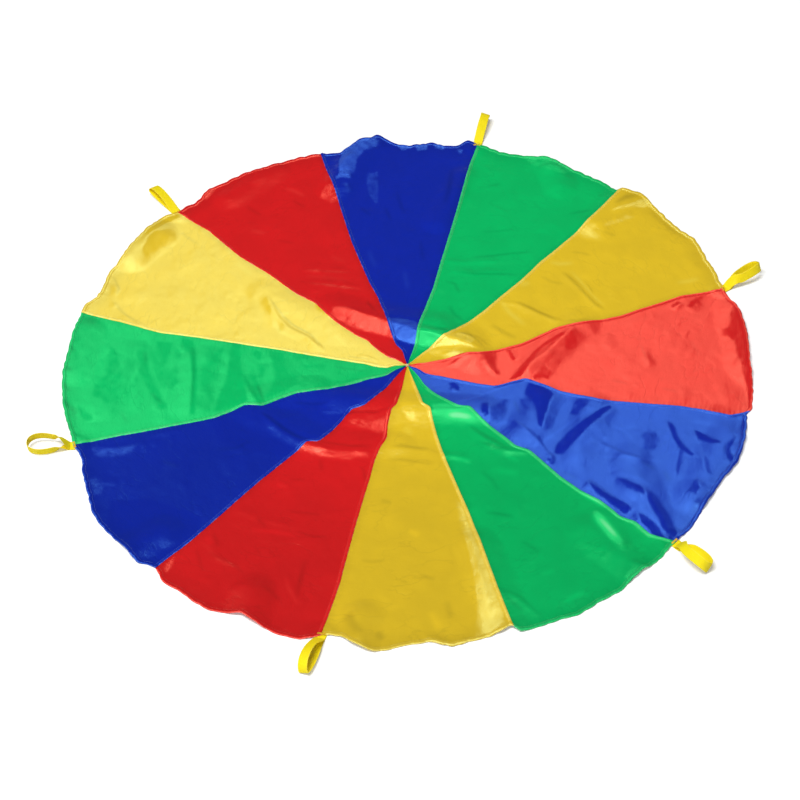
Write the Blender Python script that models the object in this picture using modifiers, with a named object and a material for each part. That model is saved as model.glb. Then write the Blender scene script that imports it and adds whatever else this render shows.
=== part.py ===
"""Play parachute: a round canopy of twelve sewn gores, spread on a floor, with six webbing handle loops.

Units are metres and +Z is up. The origin is the canopy's centre on the floor, and seam 1 runs along +Y.
Gores and seams are numbered clockwise from there, seen from above. Gore n lies clockwise of seam n.
"""

import math

import bmesh
import bpy
from mathutils import Matrix, Vector

# Canopy
CANOPY_RADIUS = 0.874  # centre to the end of a seam
HEM_BULGE = 0.016  # how far the rim stands out further between two seams
TIP_RADIUS = 0.006  # the gore tips stop here, round the centre tack
CLOTH_THICKNESS = 0.0007
SEAM_BAND = 0.009  # width of the felled allowance
HEM_WIDTH = 0.011
STITCH_INSET = 0.002  # a stitch row lies this far in from a folded edge
THREAD_DIAMETER = 0.0008
SEAM_THREAD_START = 0.045  # radius at which the seam's stitch row begins
TACK_HEIGHT = 0.0032  # centre tack
PIECE_GAP = 0.0003  # left between pieces that touch
FOLD_AXIS_HEIGHT = 0.019  # the far half folds over about this line, above the relief that crosses it

# Handles, of flat webbing
WEB_WIDTH = 0.025
WEB_THICKNESS = 0.0015
STRAND_SLIT = 0.0003  # between the two strands where they leave the hem
LOOP_REACH = 0.106  # hinge to the far end of the loop
TAIL_SEWN = 0.014  # length under the hem
TAIL_PROUD = 0.005  # length beyond the rim
TACK_BAR_LENGTH = 0.020
TACK_BAR_WIDTH = 0.0060
TACK_BAR_THICKNESS = 0.0009
TACK_BAR_INSET = 0.0010  # from the rim
TAIL_EASE = 0.0006  # spare height under the hem over a tail
TAIL_SPREAD = 0.030  # how far the hem's lift over a tail takes to fade

# Mesh resolution of a gore
PLAIN_SPANS = 5
RADIAL_SPANS = 13

GORE_COLOURS = ["green", "yellow", "red", "blue"] * 3
SECTOR = 2 * math.pi / len(GORE_COLOURS)
SEAM_BAND_SHARE = 0.2  # most of a gore's width that its seam band takes, near the tip
SEAM_FLAT_SHARE = 0.3  # and most that the stretch beside a seam takes, which is level over a tail

# Rim ripples: azimuth and half width in degrees, and how far out as a share of the canopy's radius
RIPPLE_SHARES = [
    (108, 7, 0.022),
    (98, 6, -0.022),
    (57, 5, 0.022),
    (48, 4, -0.006),
    (12, 9, -0.006),
    (-17, 10, -0.026),
    (-42, 6, 0.006),
    (-75, 4, -0.014),
    (-95, 4, 0.012),
    (-102, 4, -0.018),
    (-113, 6, 0.018),
    (-124, 5, 0.016),
    (-136, 6, 0.010),
    (-172, 7, 0.006),
    (157, 5, 0.012),
    (131, 8, -0.006),
]

# Folds of the cloth: both ends' x and y, the half width and the height, all as shares of the radius
FOLD_SHARES = [
    (-0.27, 0.19, -0.10, 0.17, 0.075, 0.014),
    (-0.10, 0.17, 0.05, 0.17, 0.075, 0.015),
    (0.05, 0.17, 0.19, 0.07, 0.075, 0.013),
    (0.26, -0.13, 0.06, -0.16, 0.070, 0.013),
    (0.06, -0.16, -0.16, -0.17, 0.070, 0.013),
    (-0.40, -0.27, -0.18, -0.34, 0.070, 0.008),
    (-0.18, -0.34, 0.04, -0.31, 0.065, 0.008),
    (-0.42, -0.23, -0.25, -0.15, 0.070, 0.008),
    (-0.50, 0.21, -0.24, 0.09, 0.065, 0.006),
    (-0.60, -0.10, -0.58, -0.28, 0.070, 0.006),
    (-0.82, -0.12, -0.84, -0.34, 0.075, 0.005),
    (-0.40, 0.72, -0.34, 1.00, 0.080, 0.020),
    (-0.05, 0.62, -0.02, 0.84, 0.060, 0.010),
    (0.47, 0.27, 0.36, 0.07, 0.075, 0.007),
    (0.42, -0.06, 0.38, -0.20, 0.070, 0.007),
    (0.56, -0.05, 0.55, -0.23, 0.070, 0.006),
    (0.70, -0.24, 0.78, -0.42, 0.080, 0.007),
    (0.92, 0.42, 0.99, 0.18, 0.080, 0.010),
    (0.96, -0.10, 0.90, -0.32, 0.085, 0.010),
    (0.62, -0.50, 0.78, -0.62, 0.070, 0.008),
    (0.34, -0.62, 0.47, -0.86, 0.075, 0.012),
    (0.09, -0.92, 0.10, -1.03, 0.070, 0.015),
    (-0.22, -0.90, -0.20, -1.03, 0.075, 0.016),
    (-0.52, -0.75, -0.60, -0.84, 0.070, 0.013),
    (-0.98, -0.06, -0.96, -0.22, 0.070, 0.012),
    (-0.95, 0.28, -0.90, 0.39, 0.080, 0.018),
    (0.44, 0.70, 0.53, 0.90, 0.080, 0.018),
    (0.24, 0.98, 0.30, 0.86, 0.070, 0.014),
    (-0.72, 0.60, -0.62, 0.74, 0.070, 0.010),
]
FOLD_BLEND = 3  # folds that cross blend as the sum of their heights to this power

# Handles: seam, swing in plan and twist in degrees, the loop's opening, and how far its tip is raised
HANDLES = [
    (1, 0, 14, 0.022, 0.012),
    (3, 14, 62, 0.034, 0.014),
    (5, -9, 52, 0.044, 0.006),
    (7, -6, 20, 0.032, 0.004),
    (9, -13, 80, 0.046, 0.004),
    (11, -6, 10, 0.020, 0.010),
]
TWIST_RUN_SHARE = 0.4  # of the reach, in which a loop takes up its twist
LOOP_STEPS = 20  # stretches of the loop's outline beyond the hinge
TEARDROP_PEAK = 4 / 3 / math.sqrt(3)  # the greatest value of the teardrop formula

COLOURS = {
    "green": (0.0, 0.44, 0.11, 1),
    "yellow": (0.76, 0.50, 0.03, 1),
    "red": (0.66, 0.012, 0.02, 1),
    "blue": (0.006, 0.016, 0.37, 1),
    "webbing": (0.96, 0.76, 0.0, 1),
    "thread": (0.80, 0.78, 0.62, 1),
}
ROUGHNESS = {"webbing": 0.6, "thread": 0.7}
CLOTH_ROUGHNESS = 0.45


def seam_azimuth(number):
    """Azimuth of seam 1 to 12, or of 13, which is seam 1 again."""
    return math.pi / 2 - SECTOR * (number - 1)


def bump(distance, half_width):
    """A smooth bump: 1 at distance 0, and 0 from half_width on."""
    return max(0.0, 1 - (distance / half_width) ** 2) ** 2


def rim_radius(azimuth):
    """Radius of the hem's outer edge."""
    across = (azimuth / SECTOR) % 1
    radius = CANOPY_RADIUS + HEM_BULGE * math.sin(math.pi * across)
    for degrees, half_width, share in RIPPLE_SHARES:
        turn = (math.degrees(azimuth) - degrees + 180) % 360 - 180
        radius += CANOPY_RADIUS * share * bump(turn, half_width)
    return radius


def rim_frame(seam, swing=0):
    """Rotation and place at a seam's rim end: local X out, turned by the swing, Y up, Z across."""
    azimuth = seam_azimuth(seam)
    direction = azimuth + math.radians(swing)
    out = Vector((math.cos(direction), math.sin(direction), 0))
    up = Vector((0, 0, 1))
    turn = Matrix((out, up, out.cross(up))).transposed()
    rim = rim_radius(azimuth)
    return turn, Vector((rim * math.cos(azimuth), rim * math.sin(azimuth), 0))


def stack_height():
    """Height of the two webbing layers of a tail."""
    return 2 * WEB_THICKNESS + STRAND_SLIT


def tail_half_span():
    """Distance from a handle's rim point to its tail's furthest sewn corner."""
    return math.hypot(WEB_WIDTH / 2, TAIL_SEWN)


def tail_lift(x, y):
    """Height that the hem needs to pass over a handle's sewn tail."""
    flat = tail_half_span() + PIECE_GAP
    lift = 0
    for handle in HANDLES:
        rim = rim_frame(handle[0])[1]
        away = max(0.0, math.hypot(x - rim.x, y - rim.y) - flat)
        lift = max(lift, (stack_height() + TAIL_EASE) * bump(away, TAIL_SPREAD))
    return lift


def cloth_height(x, y):
    """Underside of the cloth above the floor: its folds, and its lift over the handles' tails."""
    place = Vector((x, y)) / CANOPY_RADIUS
    total = (tail_lift(x, y) / CANOPY_RADIUS) ** FOLD_BLEND
    for x1, y1, x2, y2, half_width, height in FOLD_SHARES:
        start = Vector((x1, y1))
        along = Vector((x2, y2)) - start
        step = min(1.0, max(0.0, (place - start).dot(along) / along.length_squared))
        total += (height * bump((place - start - along * step).length, half_width)) ** FOLD_BLEND
    return CANOPY_RADIUS * total ** (1 / FOLD_BLEND)


def column_angles(radius):
    """Angles across a gore: felled edge, stitch row, band's edge, plain spans, far edge."""
    gap = math.asin(PIECE_GAP / 2 / radius)
    width = SECTOR - 2 * gap
    band = min(SEAM_BAND / radius, SEAM_BAND_SHARE * width)
    stitch = band * (1 - STITCH_INSET / SEAM_BAND)
    flat = min(tail_half_span() / radius, SEAM_FLAT_SHARE * width)
    plain = [flat + (width - 2 * flat) * i / PLAIN_SPANS for i in range(PLAIN_SPANS + 1)]
    return [gap + angle for angle in [0, stitch, band, *plain, width]]


def gore_grid(number):
    """Rows, from tip to rim, of the gore's underside points, each with its number of cloth layers."""
    rows = []
    for row in range(RADIAL_SPANS + 3):
        share = min(row, RADIAL_SPANS) / RADIAL_SPANS
        inset = [HEM_WIDTH, HEM_WIDTH - STITCH_INSET, 0][max(0, row - RADIAL_SPANS)]
        points = []
        flat_radius = TIP_RADIUS + (CANOPY_RADIUS - inset - TIP_RADIUS) * share
        for column, angle in enumerate(column_angles(flat_radius)):
            azimuth = seam_azimuth(number) - angle
            radius = TIP_RADIUS + (rim_radius(azimuth) - inset - TIP_RADIUS) * share
            x, y = radius * math.cos(azimuth), radius * math.sin(azimuth)
            layers = 2 if column < 2 or row > RADIAL_SPANS else 1
            points.append((Vector((x, y, cloth_height(x, y))), layers))
        rows.append(points)
    return rows


def material(name):
    """The Principled material of one colour."""
    found = bpy.data.materials.get(name)
    if found:
        return found
    made = bpy.data.materials.new(name)
    made.use_nodes = True
    shader = made.node_tree.nodes["Principled BSDF"]
    shader.inputs["Base Color"].default_value = COLOURS[name]
    shader.inputs["Roughness"].default_value = ROUGHNESS.get(name, CLOTH_ROUGHNESS)
    shader.inputs["Metallic"].default_value = 0
    made.diffuse_color = COLOURS[name]
    return made


def place(obj, colour, parent):
    """Files an object in the part's collection, with its material and its half's empty."""
    obj.data.materials.append(material(colour))
    part_collection.objects.link(obj)
    obj.parent = parent
    obj.matrix_parent_inverse = Matrix.Translation(-parent.location)


def half_of(azimuth):
    """The empty of the canopy's half that holds this azimuth."""
    return far_half if math.sin(azimuth) > 0 else near_half


def add_gore(number, grid):
    """One gore: a grid bent to the sector and its relief, given its cloth's thickness straight up."""
    columns, rows = len(grid[0]), len(grid)
    shell = bmesh.new()
    bmesh.ops.create_grid(shell, x_segments=columns - 1, y_segments=rows - 1, size=0.5)
    thickness = shell.verts.layers.float.new("thickness")
    for vert in shell.verts:
        column = round((vert.co.x + 0.5) * (columns - 1))
        row = round((vert.co.y + 0.5) * (rows - 1))
        vert.co, layers = grid[row][column]
        vert[thickness] = layers * CLOTH_THICKNESS
    made = bmesh.ops.extrude_face_region(shell, geom=shell.faces[:])["geom"]
    for item in made:
        if isinstance(item, bmesh.types.BMVert):
            item.co.z += item[thickness]
    bmesh.ops.recalc_face_normals(shell, faces=shell.faces[:])
    mesh = bpy.data.meshes.new(f"gore_{number:02d}")
    shell.to_mesh(mesh)
    shell.free()
    mesh.shade_smooth()
    mesh.set_sharp_from_angle(angle=math.radians(40))
    colour = GORE_COLOURS[number - 1]
    gore = bpy.data.objects.new(f"gore_{number:02d}_{colour}", mesh)
    place(gore, colour, half_of(seam_azimuth(number + 0.5)))


def add_thread(name, points, azimuth):
    """A stitch row as one thin rod along points on the cloth's upper face."""
    curve = bpy.data.curves.new(name, "CURVE")
    curve.dimensions = "3D"
    curve.bevel_depth = THREAD_DIAMETER / 2
    curve.bevel_resolution = 0
    curve.use_fill_caps = True
    spline = curve.splines.new("POLY")
    spline.points.add(len(points) - 1)
    for target, point in zip(spline.points, points):
        target.co = (*point, 1)
    place(bpy.data.objects.new(name, curve), "thread", half_of(azimuth))


def on_top(cell):
    """Centre of a thread that lies on the cloth over one grid point."""
    point, layers = cell
    return point + Vector((0, 0, layers * CLOTH_THICKNESS + PIECE_GAP + THREAD_DIAMETER))


def add_stitching(number, grid):
    """The seam's row, along the felled band's inner edge, and the hem's row across the gore."""
    middle = seam_azimuth(number + 0.5)
    seam_row = [row[1] for row in grid[: RADIAL_SPANS + 1]]
    seam_row = [cell for cell in seam_row if cell[0].xy.length > SEAM_THREAD_START]
    add_thread(f"seam_stitching_{number:02d}", [on_top(cell) for cell in seam_row[:-1]], middle)
    hem_row = [on_top(cell) for cell in grid[RADIAL_SPANS + 1]]
    add_thread(f"hem_stitching_{number:02d}", hem_row[1:-1], middle)


def add_centre_tack():
    """The knot of thread that closes the twelve tips."""
    radius = TIP_RADIUS * math.cos(SECTOR / 2) - PIECE_GAP
    knot = bmesh.new()
    bmesh.ops.create_uvsphere(knot, u_segments=12, v_segments=6, radius=1)
    bmesh.ops.scale(knot, vec=(radius, radius, TACK_HEIGHT / 2), verts=knot.verts)
    bmesh.ops.translate(knot, vec=(0, 0, cloth_height(0, 0) + TACK_HEIGHT / 2), verts=knot.verts)
    mesh = bpy.data.meshes.new("centre_tack")
    knot.to_mesh(mesh)
    knot.free()
    mesh.shade_smooth()
    place(bpy.data.objects.new("centre_tack", mesh), "thread", near_half)


def hinge_point(handle):
    """Where the loop flexes: in line with the rim's tail, one strip's nose clear of its end."""
    turn, rim = rim_frame(*handle[:2])
    nose = stack_height() / 2
    out = TAIL_PROUD + nose + PIECE_GAP
    return rim + turn @ Vector((out, nose, 0))


def add_tail(index, handle):
    """The two sewn ends, lying on each other under the hem: a strip with a rounded outer end."""
    turn, rim = rim_frame(*handle[:2])
    nose = stack_height() / 2
    curve = bpy.data.curves.new(f"handle_{index}_tail", "CURVE")
    curve.dimensions = "2D"
    curve.fill_mode = "BOTH"
    curve.extrude = WEB_WIDTH / 2
    spline = curve.splines.new("POLY")
    angles = [math.radians(angle) for angle in range(-90, 91, 30)]
    centre = TAIL_PROUD - nose
    outline = [(centre + nose * math.cos(angle), nose * math.sin(angle)) for angle in angles]
    outline += [(-TAIL_SEWN, nose), (-TAIL_SEWN, -nose)]
    spline.points.add(len(outline) - 1)
    for target, (x, y) in zip(spline.points, outline):
        target.co = (x, y, 0, 1)
    spline.use_cyclic_u = True
    obj = bpy.data.objects.new(f"handle_{index}_tail", curve)
    obj.matrix_world = Matrix.Translation(rim + Vector((0, 0, nose))) @ turn.to_4x4()
    place(obj, "webbing", half_of(seam_azimuth(handle[0])))


def strand_offset(x, opening):
    """How far the strip's middle lies from the loop's centre line, x out from the hinge: a teardrop."""
    angle = math.acos(max(-1.0, min(1.0, 1 - 2 * x / (LOOP_REACH - WEB_THICKNESS / 2))))
    teardrop = math.sin(angle) * math.sin(angle / 2) / TEARDROP_PEAK
    return (WEB_THICKNESS + STRAND_SLIT) / 2 + opening / 2 * teardrop


def loop_outline(opening):
    """The strip's middle line, once round: the tight turn at the hinge, and the teardrop beyond it."""
    bend = (WEB_THICKNESS + STRAND_SLIT) / 2
    tip = LOOP_REACH - WEB_THICKNESS / 2
    root_turns = [math.pi / 2 * turn for turn in (0.5, 0, -0.5)]
    points = [(-bend * math.cos(turn), -bend * math.sin(turn)) for turn in root_turns]
    for step in range(LOOP_STEPS + 1):
        angle = 2 * math.pi * step / LOOP_STEPS
        x = tip * (1 - math.cos(angle)) / 2
        side = -1 if step > LOOP_STEPS / 2 else 1
        offset = 0 if 2 * step == LOOP_STEPS else strand_offset(x, opening)
        points.append((x, side * offset))
    points[-1] = (0, -bend)
    return points


def laid(point, handle):
    """Where a point of the flat loop goes: twisted about its middle, its strip's edge on the floor."""
    twist, opening, tip_raise = handle[2:]
    out = min(1.0, max(0.0, point.x / LOOP_REACH))
    run = min(1.0, out / TWIST_RUN_SHARE)
    turned = math.radians(twist) * run * run * (3 - 2 * run)
    offset = strand_offset(max(0.0, point.x), opening) + WEB_THICKNESS / 2
    rise = offset * math.cos(turned) + WEB_WIDTH / 2 * math.sin(turned) - stack_height() / 2
    y = point.y * math.cos(turned) - point.z * math.sin(turned)
    z = point.y * math.sin(turned) + point.z * math.cos(turned)
    return Vector((point.x, y + rise + tip_raise * out * out, z))


def add_loop(index, handle):
    """The free loop: a strip on edge round its outline, then laid down with its twist."""
    curve = bpy.data.curves.new("loop_outline", "CURVE")
    curve.dimensions = "3D"
    curve.twist_mode = "Z_UP"
    curve.extrude = (WEB_WIDTH - WEB_THICKNESS) / 2
    curve.bevel_depth = WEB_THICKNESS / 2
    curve.bevel_resolution = 0
    spline = curve.splines.new("POLY")
    outline = loop_outline(handle[3])
    spline.points.add(len(outline) - 1)
    for target, point in zip(spline.points, outline):
        target.co = (*point, 0, 1)
    spline.use_cyclic_u = True
    flat = bpy.data.objects.new("loop_outline", curve)
    bpy.context.scene.collection.objects.link(flat)
    evaluated = flat.evaluated_get(bpy.context.evaluated_depsgraph_get())
    mesh = bpy.data.meshes.new_from_object(evaluated)
    bpy.data.objects.remove(flat)
    mesh.name = f"handle_{index}_loop"
    for vert in mesh.vertices:
        vert.co = laid(vert.co, handle)
    obj = bpy.data.objects.new(mesh.name, mesh)
    turn = rim_frame(*handle[:2])[0]
    obj.matrix_world = Matrix.Translation(hinge_point(handle)) @ turn.to_4x4()
    place(obj, "webbing", half_of(seam_azimuth(handle[0])))


def add_bar_tack(index, handle):
    """The dense stitching across the hem that holds a tail."""
    turn, rim = rim_frame(handle[0])
    bar = bmesh.new()
    bmesh.ops.create_cube(bar, size=1)
    bmesh.ops.scale(bar, vec=(TACK_BAR_WIDTH, TACK_BAR_THICKNESS, TACK_BAR_LENGTH), verts=bar.verts)
    mesh = bpy.data.meshes.new(f"handle_{index}_bar_tack")
    bar.to_mesh(mesh)
    bar.free()
    obj = bpy.data.objects.new(f"handle_{index}_bar_tack", mesh)
    inward = TACK_BAR_INSET + TACK_BAR_WIDTH / 2
    seat = rim + turn @ Vector((-inward, 0, 0))
    seat.z = cloth_height(*seat.xy) + 2 * CLOTH_THICKNESS + PIECE_GAP + TACK_BAR_THICKNESS / 2
    obj.matrix_world = Matrix.Translation(seat) @ turn.to_4x4()
    edges = obj.modifiers.new("edges", "BEVEL")
    edges.width = TACK_BAR_THICKNESS / 3
    edges.segments = 1
    place(obj, "webbing", half_of(seam_azimuth(handle[0])))


def add_half(name, height):
    """An empty that carries one half of the canopy."""
    empty = bpy.data.objects.new(name, None)
    empty.location = (0, 0, height)
    part_collection.objects.link(empty)
    return empty


for old in list(bpy.data.objects):
    bpy.data.objects.remove(old)

part_collection = bpy.data.collections.new("play_parachute")
bpy.context.scene.collection.children.link(part_collection)
near_half = add_half("near_half", 0)
far_half = add_half("far_half", FOLD_AXIS_HEIGHT)

for gore_number in range(1, len(GORE_COLOURS) + 1):
    gore_points = gore_grid(gore_number)
    add_gore(gore_number, gore_points)
    add_stitching(gore_number, gore_points)
add_centre_tack()
for handle_number, handle_values in enumerate(HANDLES, 1):
    add_tail(handle_number, handle_values)
    add_loop(handle_number, handle_values)
    add_bar_tack(handle_number, handle_values)
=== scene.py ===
"""Looks of the play parachute.

Twelve taffeta gores with their relief, seams, hems and stitching, a knotted centre and six webbing handles.
Everything is in metres in the frame of the CAD. The origin is the canopy's centre on the floor, +Z is up,
and seam 1 runs along +Y. Gore n lies clockwise of seam n, seen from above.
"""
import math

import bpy
import numpy as np
from mathutils import Matrix, Quaternion, Vector


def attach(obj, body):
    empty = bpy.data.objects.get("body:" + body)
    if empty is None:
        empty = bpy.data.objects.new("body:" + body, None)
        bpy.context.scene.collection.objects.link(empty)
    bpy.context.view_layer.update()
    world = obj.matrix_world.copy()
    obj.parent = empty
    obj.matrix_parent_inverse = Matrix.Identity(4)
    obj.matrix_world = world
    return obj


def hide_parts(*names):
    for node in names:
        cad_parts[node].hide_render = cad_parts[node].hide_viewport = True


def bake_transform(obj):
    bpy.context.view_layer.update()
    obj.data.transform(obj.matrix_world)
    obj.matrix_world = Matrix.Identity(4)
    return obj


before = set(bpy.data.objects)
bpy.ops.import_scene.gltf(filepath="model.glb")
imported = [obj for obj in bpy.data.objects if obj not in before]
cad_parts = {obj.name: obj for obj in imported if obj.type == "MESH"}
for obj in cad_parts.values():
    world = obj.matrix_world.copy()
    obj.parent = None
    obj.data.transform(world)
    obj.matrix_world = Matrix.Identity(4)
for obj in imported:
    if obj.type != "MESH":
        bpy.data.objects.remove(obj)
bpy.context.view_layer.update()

# Sizes as in the CAD
CANOPY_RADIUS = 0.874
HEM_BULGE = 0.016
STITCH_INSET = 0.002
SEAM_THREAD_START = 0.045
WEB_WIDTH = 0.025
WEB_THICKNESS = 0.0015
STRAND_SLIT = 0.0003
LOOP_REACH = 0.106
TAIL_SEWN = 0.014
TAIL_PROUD = 0.005
TACK_BAR_LENGTH = 0.020
TACK_BAR_WIDTH = 0.0060
TACK_BAR_INSET = 0.0010
TAIL_EASE = 0.0006
TAIL_SPREAD = 0.030
PIECE_GAP = 0.0003
TWIST_RUN_SHARE = 0.4
TEARDROP_PEAK = 4 / 3 / math.sqrt(3)

# Sizes that differ a little from the CAD's, whose shells are thicker than the cloth
TIP_RADIUS = 0.004
SEAM_BAND = 0.010
HEM_WIDTH = 0.012

# Sizes that follow from the others
STACK = 2 * WEB_THICKNESS + STRAND_SLIT
TAIL_FLAT = math.hypot(WEB_WIDTH / 2, TAIL_SEWN) + PIECE_GAP
STRAND_OFF = (WEB_THICKNESS + STRAND_SLIT) / 2  # from the middle between a handle's strands to each of them
LOOP_LINE = LOOP_REACH - WEB_THICKNESS / 2

COLOURS = ["green", "yellow", "red", "blue"] * 3
GORES = len(COLOURS)
SECTOR = 2 * math.pi / GORES

# Rim ripples: azimuth and half width in degrees, and how far out as a share of the radius
RIPPLES = [
    (108, 7, 0.022), (98, 6, -0.022), (57, 5, 0.022), (48, 4, -0.006), (12, 9, -0.006), (-17, 10, -0.026),
    (-42, 6, 0.006), (-75, 4, -0.014), (-95, 4, 0.012), (-102, 4, -0.018), (-113, 6, 0.018), (-124, 5, 0.016),
    (-136, 6, 0.010), (-172, 7, 0.006), (157, 5, 0.012), (131, 8, -0.006),
]

# Handles: seam, swing and twist in degrees, the loop's opening and how far its tip is raised
HANDLES = [
    (1, 0, 14, 0.022, 0.012),
    (3, 14, 62, 0.034, 0.014),
    (5, -9, 52, 0.044, 0.006),
    (7, -6, 20, 0.032, 0.004),
    (9, -13, 80, 0.046, 0.004),
    (11, -6, 10, 0.020, 0.010),
]

# The main folds, as in the CAD: both ends' x and y, half width and height, as shares of the radius
FOLDS = [
    (-0.27, 0.19, -0.10, 0.17, 0.075, 0.014), (-0.10, 0.17, 0.05, 0.17, 0.075, 0.015),
    (0.05, 0.17, 0.19, 0.07, 0.075, 0.013), (0.26, -0.13, 0.06, -0.16, 0.070, 0.013),
    (0.06, -0.16, -0.16, -0.17, 0.070, 0.013), (-0.40, -0.27, -0.18, -0.34, 0.070, 0.008),
    (-0.18, -0.34, 0.04, -0.31, 0.065, 0.008), (-0.42, -0.23, -0.25, -0.15, 0.070, 0.008),
    (-0.50, 0.21, -0.24, 0.09, 0.065, 0.006), (-0.60, -0.10, -0.58, -0.28, 0.070, 0.006),
    (-0.82, -0.12, -0.84, -0.34, 0.075, 0.005), (-0.40, 0.72, -0.34, 1.00, 0.080, 0.020),
    (-0.05, 0.62, -0.02, 0.84, 0.060, 0.010), (0.47, 0.27, 0.36, 0.07, 0.075, 0.007),
    (0.42, -0.06, 0.38, -0.20, 0.070, 0.007), (0.56, -0.05, 0.55, -0.23, 0.070, 0.006),
    (0.70, -0.24, 0.78, -0.42, 0.080, 0.007), (0.92, 0.42, 0.99, 0.18, 0.080, 0.010),
    (0.96, -0.10, 0.90, -0.32, 0.085, 0.010), (0.62, -0.50, 0.78, -0.62, 0.070, 0.008),
    (0.34, -0.62, 0.47, -0.86, 0.075, 0.012), (0.09, -0.92, 0.10, -1.03, 0.070, 0.015),
    (-0.22, -0.90, -0.20, -1.03, 0.075, 0.016), (-0.52, -0.75, -0.60, -0.84, 0.070, 0.013),
    (-0.98, -0.06, -0.96, -0.22, 0.070, 0.012), (-0.95, 0.28, -0.90, 0.39, 0.080, 0.018),
    (0.44, 0.70, 0.53, 0.90, 0.080, 0.018), (0.24, 0.98, 0.30, 0.86, 0.070, 0.014),
    (-0.72, 0.60, -0.62, 0.74, 0.070, 0.010),
]
FOLD_BLEND = 3  # folds that cross blend as the sum of their heights to this power

# Camera: its axes on the floor, and how a pixel of the 800 x 800 frame maps to the floor
CAMERA_AZIMUTH = math.radians(15)
RIGHT = Vector((math.cos(CAMERA_AZIMUTH), math.sin(CAMERA_AZIMUTH), 0))
AWAY = Vector((-math.sin(CAMERA_AZIMUTH), math.cos(CAMERA_AZIMUTH), 0))
ELEVATION = math.radians(46.78)
ROLL = math.radians(-2.79)
CAMERA_DISTANCE = 5.5
AIM = Vector((0.009, -0.1202, 0))
LENS, SENSOR, FRAME = 96.215, 36.0, 800
CAMERA_PLACE = (-AWAY * math.cos(ELEVATION) + Vector((0, 0, math.sin(ELEVATION)))) * CAMERA_DISTANCE
CAMERA_TURN = (AIM - CAMERA_PLACE).to_track_quat("-Z", "Y") @ Quaternion((0, 0, 1), ROLL)


def floor_point(pixel, height=0.0):
    """Where a pixel's ray meets a level plane."""
    focal = LENS / SENSOR * FRAME
    ray = CAMERA_TURN @ Vector(((pixel[0] - FRAME / 2) / focal, (FRAME / 2 - pixel[1]) / focal, -1))
    at = CAMERA_PLACE + ray * ((height - CAMERA_PLACE.z) / ray.z)
    return at.x, at.y


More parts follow.
